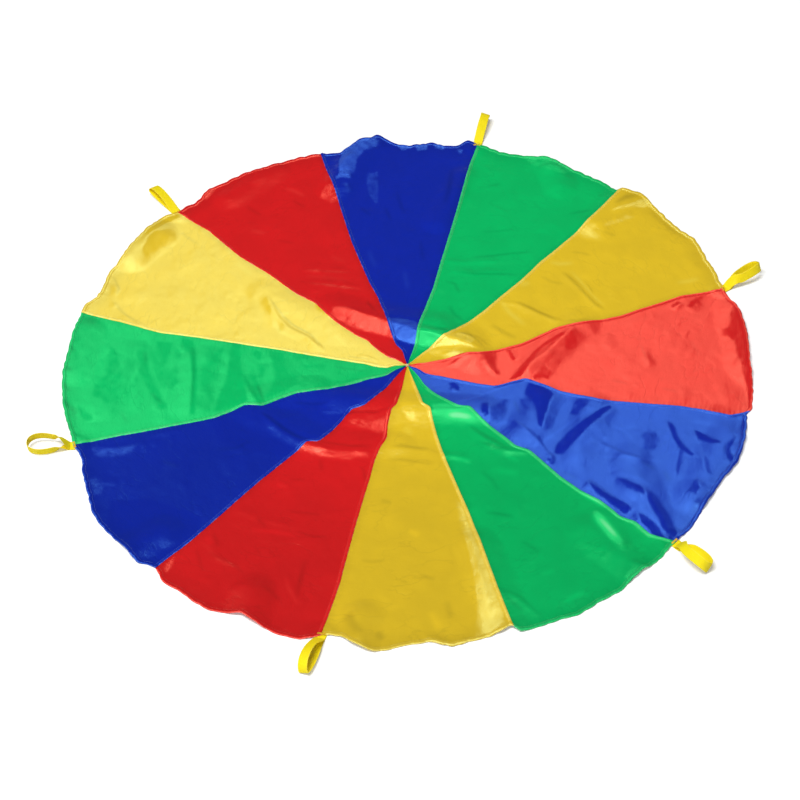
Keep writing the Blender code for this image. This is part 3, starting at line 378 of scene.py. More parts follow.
# Painted shade and painted highlights along soft creases, read off the photograph: the gore, how much brighter or
# darker, the width and the path in pixels
SHADES = [
    # painted shade: the near rim is further from the light
    (5, -0.32, 200, [(450, 420), (500, 480), (600, 602), (700, 725)]),
    (6, -0.3, 200, [(412, 425), (425, 560), (432, 700), (436, 800)]),
    (7, -0.3, 200, [(345, 475), (250, 615), (170, 745)]),
    (8, -0.3, 200, [(310, 415), (240, 460), (110, 535), (0, 600)]),
    # painted shade in creases and painted highlights on streaks, gore by gore, and then the bright painted
    # highlights
    (1, -0.35, 2.2, [(470, 258), (490, 256), (515, 253), (535, 252)]),
    (1, 0.15, 3, [(480, 264), (500, 264), (520, 263)]),
    (1, -0.4, 2.2, [(455, 272), (475, 274), (500, 274), (520, 275)]),
    (1, -0.35, 2.4, [(445, 281), (455, 284), (460, 294)]), (1, -0.35, 3, [(448, 305), (455, 315), (464, 321)]),
    (1, -0.3, 3, [(568, 214), (580, 212), (592, 210)]), (1, -0.2, 2.5, [(480, 232), (500, 231), (518, 229)]),
    (1, -0.4, 4, [(422, 325), (435, 328), (450, 330)]), (1, -0.25, 3, [(486, 186), (502, 184)]),
    (1, 0.15, 4, [(466, 205), (478, 208)]), (1, 0.25, 4, [(436, 290), (446, 294)]),
    (2, -0.5, 3, [(516, 302), (530, 308), (545, 315), (558, 321)]),
    (2, -0.3, 3, [(566, 320), (578, 321), (592, 320)]),
    (2, -0.5, 2.2, [(562, 271), (580, 288), (594, 303), (606, 311)]),
    (2, 0.35, 2.2, [(570, 270), (586, 287), (598, 301), (605, 306)]),
    (2, 0.35, 4, [(500, 300), (510, 313), (526, 326)]), (2, -0.3, 4, [(490, 324), (505, 333), (518, 339)]),
    (2, -0.5, 2.2, [(457, 333), (470, 335), (478, 341), (485, 348)]),
    (2, -0.3, 2, [(440, 351), (455, 352), (466, 351)]), (2, 0.35, 4, [(549, 262), (560, 264), (574, 263)]),
    (2, -0.25, 3, [(541, 276), (552, 282), (564, 284)]), (2, -0.25, 2.5, [(570, 252), (582, 253), (592, 256)]),
    (2, -0.25, 3, [(602, 231), (616, 236)]), (2, -0.3, 2, [(583, 280), (590, 288), (595, 297)]),
    (2, -0.5, 5, [(614, 204), (626, 197), (640, 194)]),
    (2, -0.3, 4, [(646, 208), (660, 220), (674, 232), (690, 240)]),
    (2, 0.3, 4, [(676, 283), (690, 281), (700, 278)]), (2, 0.3, 5, [(520, 286), (530, 282)]),
    (2, 0.25, 4, [(585, 232), (600, 238)]), (2, -0.25, 2, [(480, 340), (492, 346)]),
    (5, -0.35, 3, [(500, 590), (512, 602), (524, 612)]), (5, 0.25, 4, [(560, 604), (575, 596), (590, 592)]),
    (5, -0.25, 3, [(474, 440), (492, 446), (505, 450)]), (5, 0.25, 4, [(505, 455), (520, 462)]),
    (5, -0.2, 3, [(520, 540), (540, 552)]), (5, -0.2, 4, [(480, 470), (492, 480), (500, 492)]),
    (5, 0.2, 4, [(540, 575), (556, 570)]), (6, -0.4, 8, [(347, 612), (352, 622), (360, 634)]),
    (6, -0.3, 6, [(376, 632), (384, 640)]), (6, -0.35, 3, [(392, 446), (410, 447), (430, 449)]),
    (6, -0.3, 2.5, [(386, 459), (404, 460), (430, 464)]), (6, 0.25, 6, [(404, 426), (412, 436)]),
    (6, -0.2, 4, [(380, 500), (392, 503)]), (6, -0.2, 3, [(360, 560), (372, 562), (386, 560)]),
    (6, -0.2, 5, [(446, 600), (452, 620)]), (6, 0.2, 5, [(408, 530), (420, 536)]),
    (6, -0.2, 3, [(420, 575), (436, 580)]), (6, 0.2, 6, [(430, 610), (440, 630)]),
    (7, -0.45, 3, [(316, 441), (335, 444), (352, 446), (374, 446)]),
    (7, -0.25, 3, [(208, 551), (220, 558), (235, 565), (246, 576)]), (7, -0.25, 2.5, [(213, 532), (219, 548)]),
    (7, -0.25, 2.5, [(196, 548), (203, 572)]), (7, -0.25, 2, [(288, 511), (304, 513), (322, 515)]),
    (7, -0.3, 2, [(296, 531), (312, 536), (330, 537)]), (7, -0.25, 4, [(306, 558), (300, 580), (297, 600)]),
    (7, -0.2, 4, [(262, 585), (272, 592), (282, 602)]), (7, -0.25, 2, [(288, 479), (306, 480)]),
    (7, 0.25, 4, [(250, 530), (275, 532), (298, 536)]), (7, -0.25, 3, [(362, 466), (366, 480), (376, 484)]),
    (7, -0.2, 2.5, [(256, 516), (266, 528)]), (7, 0.25, 5, [(206, 536), (212, 545)]),
    (7, 0.25, 4, [(276, 484), (290, 488)]), (7, -0.25, 3, [(320, 458), (322, 472)]),
    (8, -0.45, 3.5, [(260, 411), (272, 420), (283, 428), (296, 436), (310, 440)]),
    (8, -0.35, 3, [(290, 402), (310, 404), (330, 402)]), (8, -0.2, 4, [(160, 460), (180, 468)]),
    (8, -0.2, 4, [(216, 450), (236, 448), (252, 440)]), (9, -0.4, 2.2, [(193, 345), (194, 372), (191, 412)]),
    (9, -0.5, 2.2, [(257, 384), (262, 396), (264, 404)]), (9, -0.3, 3, [(145, 350), (146, 366)]),
    (9, -0.3, 3, [(150, 392), (162, 404)]), (9, -0.3, 2.5, [(64, 352), (70, 362)]),
    (9, -0.35, 3, [(68, 412), (78, 420)]), (9, 0.35, 4, [(210, 380), (220, 394)]),
    (9, -0.25, 3, [(120, 410), (128, 424)]), (9, 0.3, 4, [(170, 360), (176, 380)]),
    (9, -0.25, 3, [(330, 366), (350, 369), (372, 372)]),
    (10, -0.45, 2, [(270, 298), (277, 308), (285, 318), (293, 325), (310, 334), (324, 348)]),
    (10, -0.4, 2, [(113, 276), (119, 288), (116, 296)]),
    (10, -0.3, 2.5, [(112, 300), (122, 312), (136, 322), (150, 326)]),
    (10, 0.4, 4, [(272, 320), (280, 332), (296, 338)]), (10, -0.25, 3, [(180, 232), (200, 246)]),
    (10, 0.25, 4, [(236, 262), (252, 276)]), (10, -0.35, 2, [(345, 356), (362, 358), (376, 361)]),
    (11, -0.35, 2.5, [(298, 269), (325, 271), (352, 273)]), (11, 0.15, 4, [(305, 276), (330, 278), (350, 281)]),
    (11, -0.4, 2.5, [(300, 282), (330, 285), (360, 290)]), (11, 0.3, 3, [(284, 188), (296, 192), (305, 197)]),
    (11, -0.25, 3, [(292, 200), (306, 208)]), (11, -0.25, 3, [(246, 206), (262, 216)]),
    (11, 0.25, 4, [(250, 230), (266, 234)]), (11, -0.2, 3, [(276, 240), (296, 244)]),
    (11, 0.15, 4, [(330, 256), (346, 262)]), (11, -0.35, 3, [(366, 300), (376, 312)]),
    (11, 0.3, 3, [(250, 184), (268, 178)]), (12, -0.4, 5, [(452, 168), (449, 190), (444, 206)]),
    (12, -0.3, 3, [(360, 208), (372, 216)]), (12, 0.15, 4, [(368, 250), (376, 268)]),
    (12, -0.3, 3, [(396, 190), (404, 214)]), (12, -0.25, 4, [(420, 240), (424, 262)]),
    (12, 0.15, 4, [(404, 270), (408, 290)]), (12, -0.3, 3, [(398, 318), (412, 322)]),
    (12, -0.3, 3, [(384, 206), (392, 222)]), (3, -0.3, 2, [(640, 342), (645, 356), (648, 368)]),
    (3, 0.25, 4, [(600, 340), (612, 352)]), (3, -0.2, 3, [(690, 340), (700, 356)]),
    (3, -0.2, 3, [(610, 380), (630, 384)]), (3, 0.25, 4, [(660, 330), (676, 336)]),
    (3, -0.2, 3, [(660, 388), (680, 392)]), (4, 0.5, 2.2, [(456, 403), (480, 396), (500, 388), (520, 382)]),
    (4, 0.4, 2.6, [(528, 449), (550, 437), (575, 419), (602, 403)]),
    (4, 0.4, 3, [(598, 456), (630, 457), (664, 462)]), (4, 0.35, 3, [(618, 473), (640, 479), (654, 488)]),
    (4, 0.35, 6, [(628, 492), (642, 508), (654, 522)]), (4, 0.3, 5, [(690, 420), (720, 426)]),
    (4, -0.35, 4, [(700, 500), (692, 514)]), (4, 0.35, 5, [(496, 420), (512, 424)]),
    (4, 0.3, 3, [(610, 424), (626, 432), (636, 444)]), (4, -0.3, 4, [(664, 470), (670, 482)]),
    (5, 0.9, 7, [(444, 415), (458, 415), (476, 418)]), (5, 1.0, 8, [(594, 513), (608, 527), (622, 543)]),
    (5, 0.95, 4, [(580, 492), (594, 499), (608, 508)]), (5, 0.3, 3, [(446, 457), (460, 459), (474, 460)]),
    (5, -0.3, 3, [(484, 512), (500, 514), (516, 517)]), (5, -0.25, 3, [(484, 442), (496, 447), (510, 450)]),
    (5, 0.2, 6, [(490, 468), (520, 474)]), (9, 0.5, 3, [(141, 362), (135, 374), (128, 388)]),
    (9, 0.4, 4, [(112, 346), (106, 353), (100, 360)]), (9, 0.35, 4, [(122, 364), (114, 377)]),
    (9, 0.4, 5, [(205, 356), (202, 366)]), (9, 0.35, 5, [(262, 385), (268, 375), (272, 366)]),
    (9, 0.3, 4, [(134, 348), (148, 349)]), (9, -0.6, 4, [(60, 398), (67, 404), (77, 415)]),
    (9, -0.5, 4, [(64, 366), (72, 372)]), (9, -0.5, 4, [(62, 382), (70, 392)]),
    (9, -0.5, 3, [(66, 344), (76, 352)]), (9, -0.5, 3, [(65, 420), (72, 432)]),
    (9, -0.3, 8, [(84, 318), (96, 324)]), (4, -0.3, 3, [(514, 400), (520, 414)]),
    (4, -0.3, 3, [(560, 470), (578, 480)]), (4, 0.3, 4, [(580, 446), (594, 438)]),
    (4, -0.3, 3, [(640, 460), (656, 470)]), (4, 0.3, 4, [(624, 430), (636, 424)]),
    (4, 0.3, 3, [(684, 516), (690, 500)]),
]


def from_centre(right, away, up, distance):
    """A place at a distance from the origin, along a way given on the camera's axes."""
    return (RIGHT * right + AWAY * away + Vector((0, 0, up))).normalized() * distance


KEY_PLACE = from_centre(-0.23, -0.16, 0.96, 10)
FILL_PLACE = from_centre(-0.3, -0.92, 0.27, 9)

# Cloth
SHEET = 0.0003  # thickness of one gore's sheet
LAP = 0.003  # how far a gore runs on under its neighbour's seam band
CELL = 0.0052  # size of a mesh cell

RASTER_STEP = 0.0025
RASTER_HALF = 0.96
rng = np.random.default_rng(12)


def seam_azimuth(number):
    return math.pi / 2 - SECTOR * (number - 1)


def bump(distance, half_width):
    return np.maximum(0.0, 1 - (distance / half_width) ** 2) ** 2


def wrapped(angle, full=2 * math.pi):
    """An angle, brought to within half a turn of zero."""
    return (angle + full / 2) % full - full / 2


def eased(share):
    """A share from 0 to 1 that starts and ends gently."""
    return share * share * (3 - 2 * share)


def drawn(least, more):
    """A random value from the least one to that and so much more."""
    return least + more * rng.random()


def gaussian(reach, sigma, step=1):
    """A blur's weights over the steps from -reach to reach."""
    weights = np.exp(-0.5 * (np.arange(-reach, reach + 1) * step / sigma) ** 2)
    return weights / weights.sum()


def cad_rim_radius(azimuth):
    radius = CANOPY_RADIUS + HEM_BULGE * np.sin(math.pi * ((azimuth / SECTOR) % 1))
    for degrees, half_width, share in RIPPLES:
        turn = wrapped(np.degrees(azimuth) - degrees, 360)
        radius = radius + CANOPY_RADIUS * share * bump(turn, half_width)
    return radius


def rim_frame(seam, swing=0.0):
    azimuth = seam_azimuth(seam)
    direction = azimuth + math.radians(swing)
    out = Vector((math.cos(direction), math.sin(direction), 0))
    up = Vector((0, 0, 1))
    turn = Matrix((out, up, out.cross(up))).transposed()
    rim = float(cad_rim_radius(azimuth))
    return turn, Vector((rim * math.cos(azimuth), rim * math.sin(azimuth), 0))


# The relief of the cloth on a raster over the floor
axis = np.arange(-RASTER_HALF, RASTER_HALF + RASTER_STEP / 2, RASTER_STEP)
PX, PY = np.meshgrid(axis, axis)


def window(points, margin):
    """The raster's slice round some points."""
    ends = [(min(p[k] for p in points) - margin, max(p[k] for p in points) + margin) for k in (0, 1)]
    lo = [max(0, int((end[0] + RASTER_HALF) / RASTER_STEP)) for end in ends]
    hi = [min(len(axis), int((end[1] + RASTER_HALF) / RASTER_STEP) + 2) for end in ends]
    return slice(lo[1], hi[1]), slice(lo[0], hi[0])


def smooth(field, sigma):
    """Gaussian blur of a raster field, sigma in metres."""
    reach = int(3 * sigma / RASTER_STEP) + 1
    kernel = gaussian(reach, sigma, RASTER_STEP)
    for _ in range(2):
        padded = np.pad(field, ((reach, reach), (0, 0)), mode="edge")
        field = sum(k * padded[i:i + field.shape[0]] for i, k in enumerate(kernel)).T
    return field


def noise(wavelength, scatter=0.45):
    """A smooth random field of about this wavelength, spread about 1 high."""
    spectrum = np.fft.rfft2(rng.standard_normal(PX.shape))
    fy = np.fft.fftfreq(PX.shape[0], RASTER_STEP)[:, None]
    fx = np.fft.rfftfreq(PX.shape[1], RASTER_STEP)[None]
    wave = np.hypot(fx, fy) * wavelength
    field = np.fft.irfft2(spectrum * np.exp(-((wave - 1) / scatter) ** 2), PX.shape)
    return field / field.std()


def path_measure(points, part):
    """For a slice's raster points: the distance to a path, positive on its right, and how far along, 0 to 1."""
    points = np.array(points)
    spans = np.linalg.norm(np.diff(points, axis=0), axis=1)
    total = spans.sum()
    nearest = np.full(PX[part].shape, np.inf)
    signed, along = np.zeros_like(nearest), np.zeros_like(nearest)
    done = 0.0
    for (x1, y1), (x2, y2), span in zip(points[:-1], points[1:], spans):
        dx, dy = PX[part] - x1, PY[part] - y1
        ax, ay = (x2 - x1) / span, (y2 - y1) / span
        step = np.clip(dx * ax + dy * ay, 0, span)
        distance = np.hypot(dx - ax * step, dy - ay * step)
        side = np.where(dx * ay - dy * ax >= 0, 1.0, -1.0)
        closer = distance < nearest
        nearest = np.where(closer, distance, nearest)
        signed = np.where(closer, distance * side, signed)
        along = np.where(closer, (done + step) / total, along)
        done += span
    return signed, along


def fold_profile(signed, along, steep, gentle, height):
    """A fold, lower and thinner to both ends: its steep side centred on the path, its gentle side to the right."""
    ends = np.clip(1 - np.abs(2 * along - 1) ** 5, 0, 1) ** 0.7
    steep, gentle = steep * (0.5 + 0.5 * ends), gentle * (0.5 + 0.5 * ends)
    up = np.clip((signed + steep / 2) / steep, 0, 1)
    down = np.clip(1 - (signed - steep / 2) / gentle, 0, 1)
    return height * ends * np.where(signed < steep / 2, up, down ** 1.5)


def beyond_tail(handle):
    """Over the raster: how far outside the flat stretch over a handle's tail."""
    rim = rim_frame(handle[0])[1]
    return np.hypot(PX - rim.x, PY - rim.y) - TAIL_FLAT


def main_folds():
    """The folds of the CAD and the hem's lift over each handle's tail."""
    total = np.zeros_like(PX)
    for handle in HANDLES:
        away = np.maximum(0.0, beyond_tail(handle))
        total = np.maximum(total, ((STACK + TAIL_EASE) * bump(away, TAIL_SPREAD)) ** FOLD_BLEND)
    for fold in FOLDS:
        x1, y1, x2, y2, half_width, height = (v * CANOPY_RADIUS for v in fold)
        part = window([(x1, y1), (x2, y2)], half_width)
        distance = np.abs(path_measure([(x1, y1), (x2, y2)], part)[0])
        total[part] += (height * bump(distance, half_width)) ** FOLD_BLEND
    return total ** (1 / FOLD_BLEND)


def sampled(field, x, y):
    """A raster field over points of the floor."""
    fx = np.clip((np.asarray(x) + RASTER_HALF) / RASTER_STEP, 0, len(axis) - 1.001)
    fy = np.clip((np.asarray(y) + RASTER_HALF) / RASTER_STEP, 0, len(axis) - 1.001)
    ix, iy = fx.astype(int), fy.astype(int)
    fx, fy = fx - ix, fy - iy
    low = field[iy, ix] * (1 - fx) + field[iy, ix + 1] * fx
    high = field[iy + 1, ix] * (1 - fx) + field[iy + 1, ix + 1] * fx
    return low * (1 - fy) + high * fy


def height_at(x, y):
    """The cloth's underside over points of the floor."""
    return sampled(relief, x, y)


def cloth_point(pixel):
    """Where a pixel of the photograph falls on the cloth."""
    height = 0.0
    for _ in range(6):
        x, y = floor_point(pixel, height)
        height = 0.5 * height + 0.5 * float(height_at(x, y))
    return x, y


BOLD_FOLD = 0.012  # folds higher than this take the place of what lies there, and lower ones add to it

relief = main_folds()
for pixels, steep, gentle, height in STROKES:
    steep, gentle, height = steep / 1000, gentle / 1000, height / 1000
    points = [floor_point(p, height / 2 + float(height_at(*floor_point(p)))) for p in pixels]
    part = window(points, gentle + steep)
    signed, along = path_measure(points, part)
    mask = fold_profile(signed, along, steep, gentle, 1.0)
    if height > BOLD_FOLD:
        relief[part] = np.maximum(relief[part], height * mask)
    else:
        relief[part] += height * mask

# Short creases strewn over each gore: how many, and how high in millimetres
CREASES = {1: (24, 0.7), 2: (26, 0.7), 3: (30, 0.8), 4: (46, 0.6), 5: (26, 0.7), 6: (26, 0.7),
           7: (24, 0.7), 8: (20, 0.7), 9: (90, 0.6), 10: (34, 0.7), 11: (34, 0.8), 12: (30, 0.8)}
# Their spans, steep sides and gentle sides in metres: the least, and how much more at random
CREASE_SPAN, CREASE_STEEP, CREASE_GENTLE = (0.004, 0.012), (0.005, 0.008), (0.012, 0.02)
CREASE_SPANS = 4
CREASE_SWAY = 0.45  # spread of the creases' headings round the way across the gore, in radians
CREASE_BEND = 0.5  # spread of their bends


def crease_path(middle):
    """A short bent line somewhere on the gore with this middle azimuth."""
    radius = CANOPY_RADIUS * (0.12 + 0.84 * rng.random() ** 0.6)
    azimuth = middle + (rng.random() - 0.5) * SECTOR * 0.94
    heading = middle + math.pi / 2 + rng.normal(0, CREASE_SWAY) + math.pi * rng.integers(2)
    bend = rng.normal(0, CREASE_BEND)
    points = [(radius * math.cos(azimuth), radius * math.sin(azimuth))]
    for _ in range(CREASE_SPANS):
        span = drawn(*CREASE_SPAN)
        points.append((points[-1][0] + span * math.cos(heading), points[-1][1] + span * math.sin(heading)))
        heading += bend * 0.3
    return points


for number, (count, height) in CREASES.items():
    for _ in range(count):
        points = crease_path(seam_azimuth(number) - SECTOR / 2)
        steep, gentle = drawn(*CREASE_STEEP), drawn(*CREASE_GENTLE)
        part = window(points, steep + gentle)
        signed, along = path_measure(points, part)
        relief[part] += fold_profile(signed, along, steep, gentle, height / 1000 * (0.35 + rng.random()))

RELIEF_BLUR = 0.0021
TAIL_FADE = 0.02  # how far from a handle's tail the cloth is free again
relief = np.maximum(0, smooth(relief, RELIEF_BLUR) + 0.00045 * noise(0.13) + 0.00014 * noise(0.045))

# Hold the cloth as in the CAD round each handle's tail
for handle in HANDLES:
    share = eased(np.clip(1 - beyond_tail(handle) / TAIL_FADE, 0, 1))
    relief = relief * (1 - share) + (STACK + TAIL_EASE) * share


def polar(points):
    points = np.array(points)
    return np.arctan2(points[:, 1], points[:, 0]), np.hypot(points[:, 0], points[:, 1])


RIM_TABLE = 2880
RIM_BLUR_REACH, RIM_BLUR = 8, 2.2  # in steps of the table
rim_azimuths = np.linspace(-math.pi, math.pi, RIM_TABLE, endpoint=False)
seen_azimuth, seen_radius = polar([cloth_point(p) for p in RIM_PATH])
order = np.argsort(seen_azimuth)
rim_table = np.interp(rim_azimuths, seen_azimuth[order], seen_radius[order], period=2 * math.pi)
blur = gaussian(RIM_BLUR_REACH, RIM_BLUR)
rim_table = sum(k * np.roll(rim_table, i) for i, k in enumerate(blur, -RIM_BLUR_REACH))

# The hem puckers into small scallops between places where its stitches hold it
# Each one's width in radians and its size as a share: the least, and how much more at random
PUCKER_TURN, PUCKER_SIZE = (0.018, 0.036), (0.35, 0.65)
PUCKER_OUT = 0.0026  # how far the fullest scallop stands out
PUCKER_USUAL = 0.45  # the share of it that leaves the rim where it is
PUCKER_LIFT = 0.0022  # how far the fullest scallop lifts off the floor
PUCKER_DEPTH = 0.016  # how far in from the rim the lift fades
held = [-math.pi]
while held[-1] < math.pi - 0.05:
    held.append(held[-1] + drawn(*PUCKER_TURN))
held[-1] = math.pi
puckers = np.zeros(RIM_TABLE)
for first, last in zip(held[:-1], held[1:]):
    share = np.clip((rim_azimuths - first) / (last - first), 0, 1)
    puckers += drawn(*PUCKER_SIZE) * 4 * share * (1 - share)
rim_table = rim_table + PUCKER_OUT * (puckers - PUCKER_USUAL)

# The rim comes to the CAD's rim at each handle
for handle in HANDLES:
    turn = wrapped(rim_azimuths - seam_azimuth(handle[0]))
    order = np.argsort(turn)
    short = cad_rim_radius(seam_azimuth(handle[0])) - np.interp(0.0, turn[order], rim_table[order])
    rim_table = rim_table + short * eased(np.clip(1.25 - np.abs(turn) / math.radians(5), 0, 1))


def rim_radius(azimuth):
    place = (np.asarray(azimuth) + math.pi) / (2 * math.pi) * RIM_TABLE % RIM_TABLE
    index = place.astype(int)
    share = place - index
    return rim_table[index] * (1 - share) + rim_table[(index + 1) % RIM_TABLE] * share


# The hem lifts off the floor a little at each scallop
raster_azimuth, raster_radius = np.arctan2(PY, PX), np.hypot(PX, PY)
lift = np.interp(raster_azimuth, rim_azimuths, puckers, period=2 * math.pi) * PUCKER_LIFT
lift *= np.exp(-(np.clip(rim_radius(raster_azimuth) - raster_radius, 0, 1) / PUCKER_DEPTH) ** 2)
for handle in HANDLES:
    lift *= np.clip(beyond_tail(handle) / TAIL_FADE, 0, 1)
relief = relief + lift


def inside(outline, part):
    """Which raster points of a slice lie inside an outline."""
    found = np.zeros(PX[part].shape, bool)
    for (x1, y1), (x2, y2) in zip(outline, outline[1:] + outline[:1]):
        spans = (y1 > PY[part]) != (y2 > PY[part])
        found ^= spans & (PX[part] < (x2 - x1) * (PY[part] - y1) / (y2 - y1 + 1e-12) + x1)
    return found


SLOPE_BLUR = 0.003  # how much the cloth's slope is smoothed before the threads' shine is worked out from it


def shining_threads():
    """Over the raster: the azimuth in degrees along which a thread shines most, and how much a turn tells there."""
    slope_y, slope_x = np.gradient(smooth(relief, SLOPE_BLUR), RASTER_STEP)
    halfway = 0
    for place in (KEY_PLACE, CAMERA_PLACE):
        way = np.stack([place.x - PX, place.y - PY, np.full_like(PX, place.z)])
        halfway = halfway + way / np.linalg.norm(way, axis=0)
    halfway /= np.linalg.norm(halfway, axis=0)
    level_x, level_y = halfway[0] + slope_x * halfway[2], halfway[1] + slope_y * halfway[2]
    return np.degrees(np.arctan2(-level_x, level_y)), np.hypot(level_x, level_y)


# How far each gore's threads are turned from its own grain, in degrees
PULL_EDGE = 0.0028  # blur of a patch's outline
PULL_MARGIN = 0.012
PULL_UNEVEN = 2.5  # spread of the threads' turn within a patch, in degrees
USUAL_TELLING, LEAST_TELLING = 0.46, 0.05  # what a turn tells on level cloth at the centre, and the least used
skews = {}
shining, telling = shining_threads()
mottle = noise(0.03)
for number, away, pixels in PULLS:
    outline = [cloth_point(p) for p in pixels]
    part = window(outline, PULL_MARGIN)
    filled = inside(outline, part)
    mask = smooth(filled.astype(float), PULL_EDGE)
    lean = np.sin(np.radians(np.clip(away + PULL_UNEVEN * mottle[part], 0, 90)))
    lean = lean * USUAL_TELLING / np.maximum(telling[part], LEAST_TELLING)
    local = np.degrees(np.arcsin(np.minimum(1, lean)))
    middle = math.degrees(seam_azimuth(number) - SECTOR / 2) + GRAIN.get(number, 0)
    off = wrapped(middle - shining[part], 180)
    usual = np.median(off[filled])
    off = usual + wrapped(off - usual, 180)
    turned = math.copysign(1, usual) * local - off
    field = skews.setdefault(number, np.zeros_like(PX))
    field[part] = field[part] * (1 - mask) + turned * mask

# Painted shade and painted highlights: how much brighter or darker each gore is along its soft creases
PIXEL = 0.0028  # a pixel of the photograph on the floor
shades = {}
for number, strength, width, pixels in SHADES:
    points, width = [cloth_point(p) for p in pixels], width * PIXEL
    part = window(points, 2 * width)
    signed, along = path_measure(points, part)
    ends = np.clip(1 - np.abs(2 * along - 1) ** 3, 0, 1)
    field = shades.setdefault(number, np.zeros_like(PX))
    field[part] += strength * np.exp(-(signed / (0.6 * width)) ** 2) * ends


SEAM_STEPS = 401  # points of a seam's course, from the centre to a radius of 1 m
SEAM_BLUR_REACH, SEAM_BLUR = 4, 1.5  # in those steps
READ_SHARE = 0.93  # of the radius: beyond it, a seam with a handle goes to the CAD's rim point
INNER_RADIUS = 0.03  # within it, a seam runs straight to the centre


def seam_course(number):
    """A seam's azimuth over its radius, as two lists, from the centre to the rim."""
    azimuth, radius = polar([cloth_point(p) for p in SEAM_PATHS[number - 1]])
    nominal = seam_azimuth(number)
    azimuth = nominal + wrapped(azimuth - nominal)
    radius = np.maximum.accumulate(radius + np.arange(len(radius)) * 1e-5)
    if number % 2:
        keep = radius < CANOPY_RADIUS * READ_SHARE
        azimuth = np.append(azimuth[keep], [nominal, nominal])
        radius = np.append(radius[keep], [cad_rim_radius(nominal) - 0.01, 1.1])
    start = 0.6 * azimuth[0] + 0.4 * nominal
    radii = np.linspace(0, 1, SEAM_STEPS)
    course = np.interp(radii, np.append([0, INNER_RADIUS], radius), np.append([start, start], azimuth))
    padded = np.pad(course, SEAM_BLUR_REACH, mode="edge")
    return radii, np.convolve(padded, gaussian(SEAM_BLUR_REACH, SEAM_BLUR), mode="valid")


SEAMS = [seam_course(n) for n in range(1, GORES + 1)]


def seam_at(number, radius):
    """A seam's azimuth at some radii. Seam 13 is seam 1 after a full turn."""
    azimuth = np.interp(radius, *SEAMS[(number - 1) % GORES])
    return azimuth - 2 * math.pi if number > GORES else azimuth


# One gore's columns, as distances across from its seam's folded edge, and rows, as distances in from the rim
BAND_COLUMNS = [0, 0.0003, 0.0009, 0.0020, 0.0036, 0.0054, 0.0068,
                0.0076, 0.0080, 0.0084, 0.0093, 0.0099, 0.0104, 0.0125]
HEM_ROWS = [0.0155, 0.0132, 0.0124, 0.0118, 0.0108, 0.0100, 0.0092,
            0.0072, 0.0050, 0.0030, 0.0016, 0.0007, 0.0002, 0]


BAND_EDGE = 0.0012  # width over which the folded edge rounds off
BAND_STEP = 0.0007  # width of the step down at the band's other edge
BAND_HEIGHT = 0.0006
BAND_CROWN = 0.0011  # how much fuller the band is between its folded edge and its stitches
DIMPLE_DEPTH, DIMPLE_WIDTH = 0.00035, 0.0008
BAND_TOP = 0.0014  # height at which the material takes a point to be wholly on a band
BAND_BLEND = 3  # a seam band and a hem that cross blend as the sum of their heights to this power


def band_relief(d, width):
    """Extra height of a folded band, d in from its folded edge, with its stitch row's dimple."""
    stitch = width - STITCH_INSET
    edge = np.sqrt(np.clip(1 - (1 - np.clip(d / BAND_EDGE, 0, 1)) ** 2, 0, 1))
    inner = eased(np.clip((width - d) / BAND_STEP, 0, 1))
    crown = BAND_CROWN * np.sin(math.pi * np.clip(d / stitch, 0, 1)) ** 0.8
    dimple = DIMPLE_DEPTH * np.exp(-((d - stitch) / DIMPLE_WIDTH) ** 2)
    return edge * inner * (BAND_HEIGHT + crown - dimple)


def crossing(seam, hem):
    """The height of a seam band and a hem together."""
    return (seam ** BAND_BLEND + hem ** BAND_BLEND) ** (1 / BAND_BLEND)


NARROW_ROW = 0.05  # rows narrower than this have no band of a fixed width


def gore_place(number, across, radius_share, inset, nominal):
    """Where a row of a gore lies on the floor, from distances across it and its share of the way out."""
    width, band = SECTOR * nominal, BAND_COLUMNS[-1]
    radius = np.full_like(across, nominal)
    for _ in range(3):
        start, end = seam_at(number, radius), seam_at(number + 1, radius)
        if width > NARROW_ROW:
            share = np.clip((across - band) / (width - band), 0, 1)
            azimuth = start - np.minimum(across, band) / radius - share * (start - end - band / radius)
            azimuth = azimuth - np.maximum(0, across - width) / radius
        else:
            azimuth = start - across / width * (start - end)
        radius = TIP_RADIUS + (rim_radius(azimuth) - inset - TIP_RADIUS) * radius_share
    return azimuth, radius


def gore_rows():
    count = int((CANOPY_RADIUS - HEM_ROWS[0]) / CELL)
    return [(s, HEM_ROWS[0]) for s in np.linspace(0, 1, count)] + [(1.0, e) for e in HEM_ROWS[1:]]


GORE_WIDTH = 0.455  # at the rim, less than its true width by what the lap adds
GORE_COLUMNS = int(GORE_WIDTH / CELL)
BAND_SHARE, LAP_SHARE = 0.3, 0.15  # most of a row's width that its seam band and its lap take
TUCK = 0.00035  # how far a gore's edge is raised to lie over its neighbour's lap
TUCK_END, TUCK_RUN = 0.0085, 0.0035  # where across the gore the raised stretch ends, and how long its ramp is
LAP_EDGE, LAP_SHEET = 0.0005, 0.00028  # where the lap begins before the seam, and its thickness


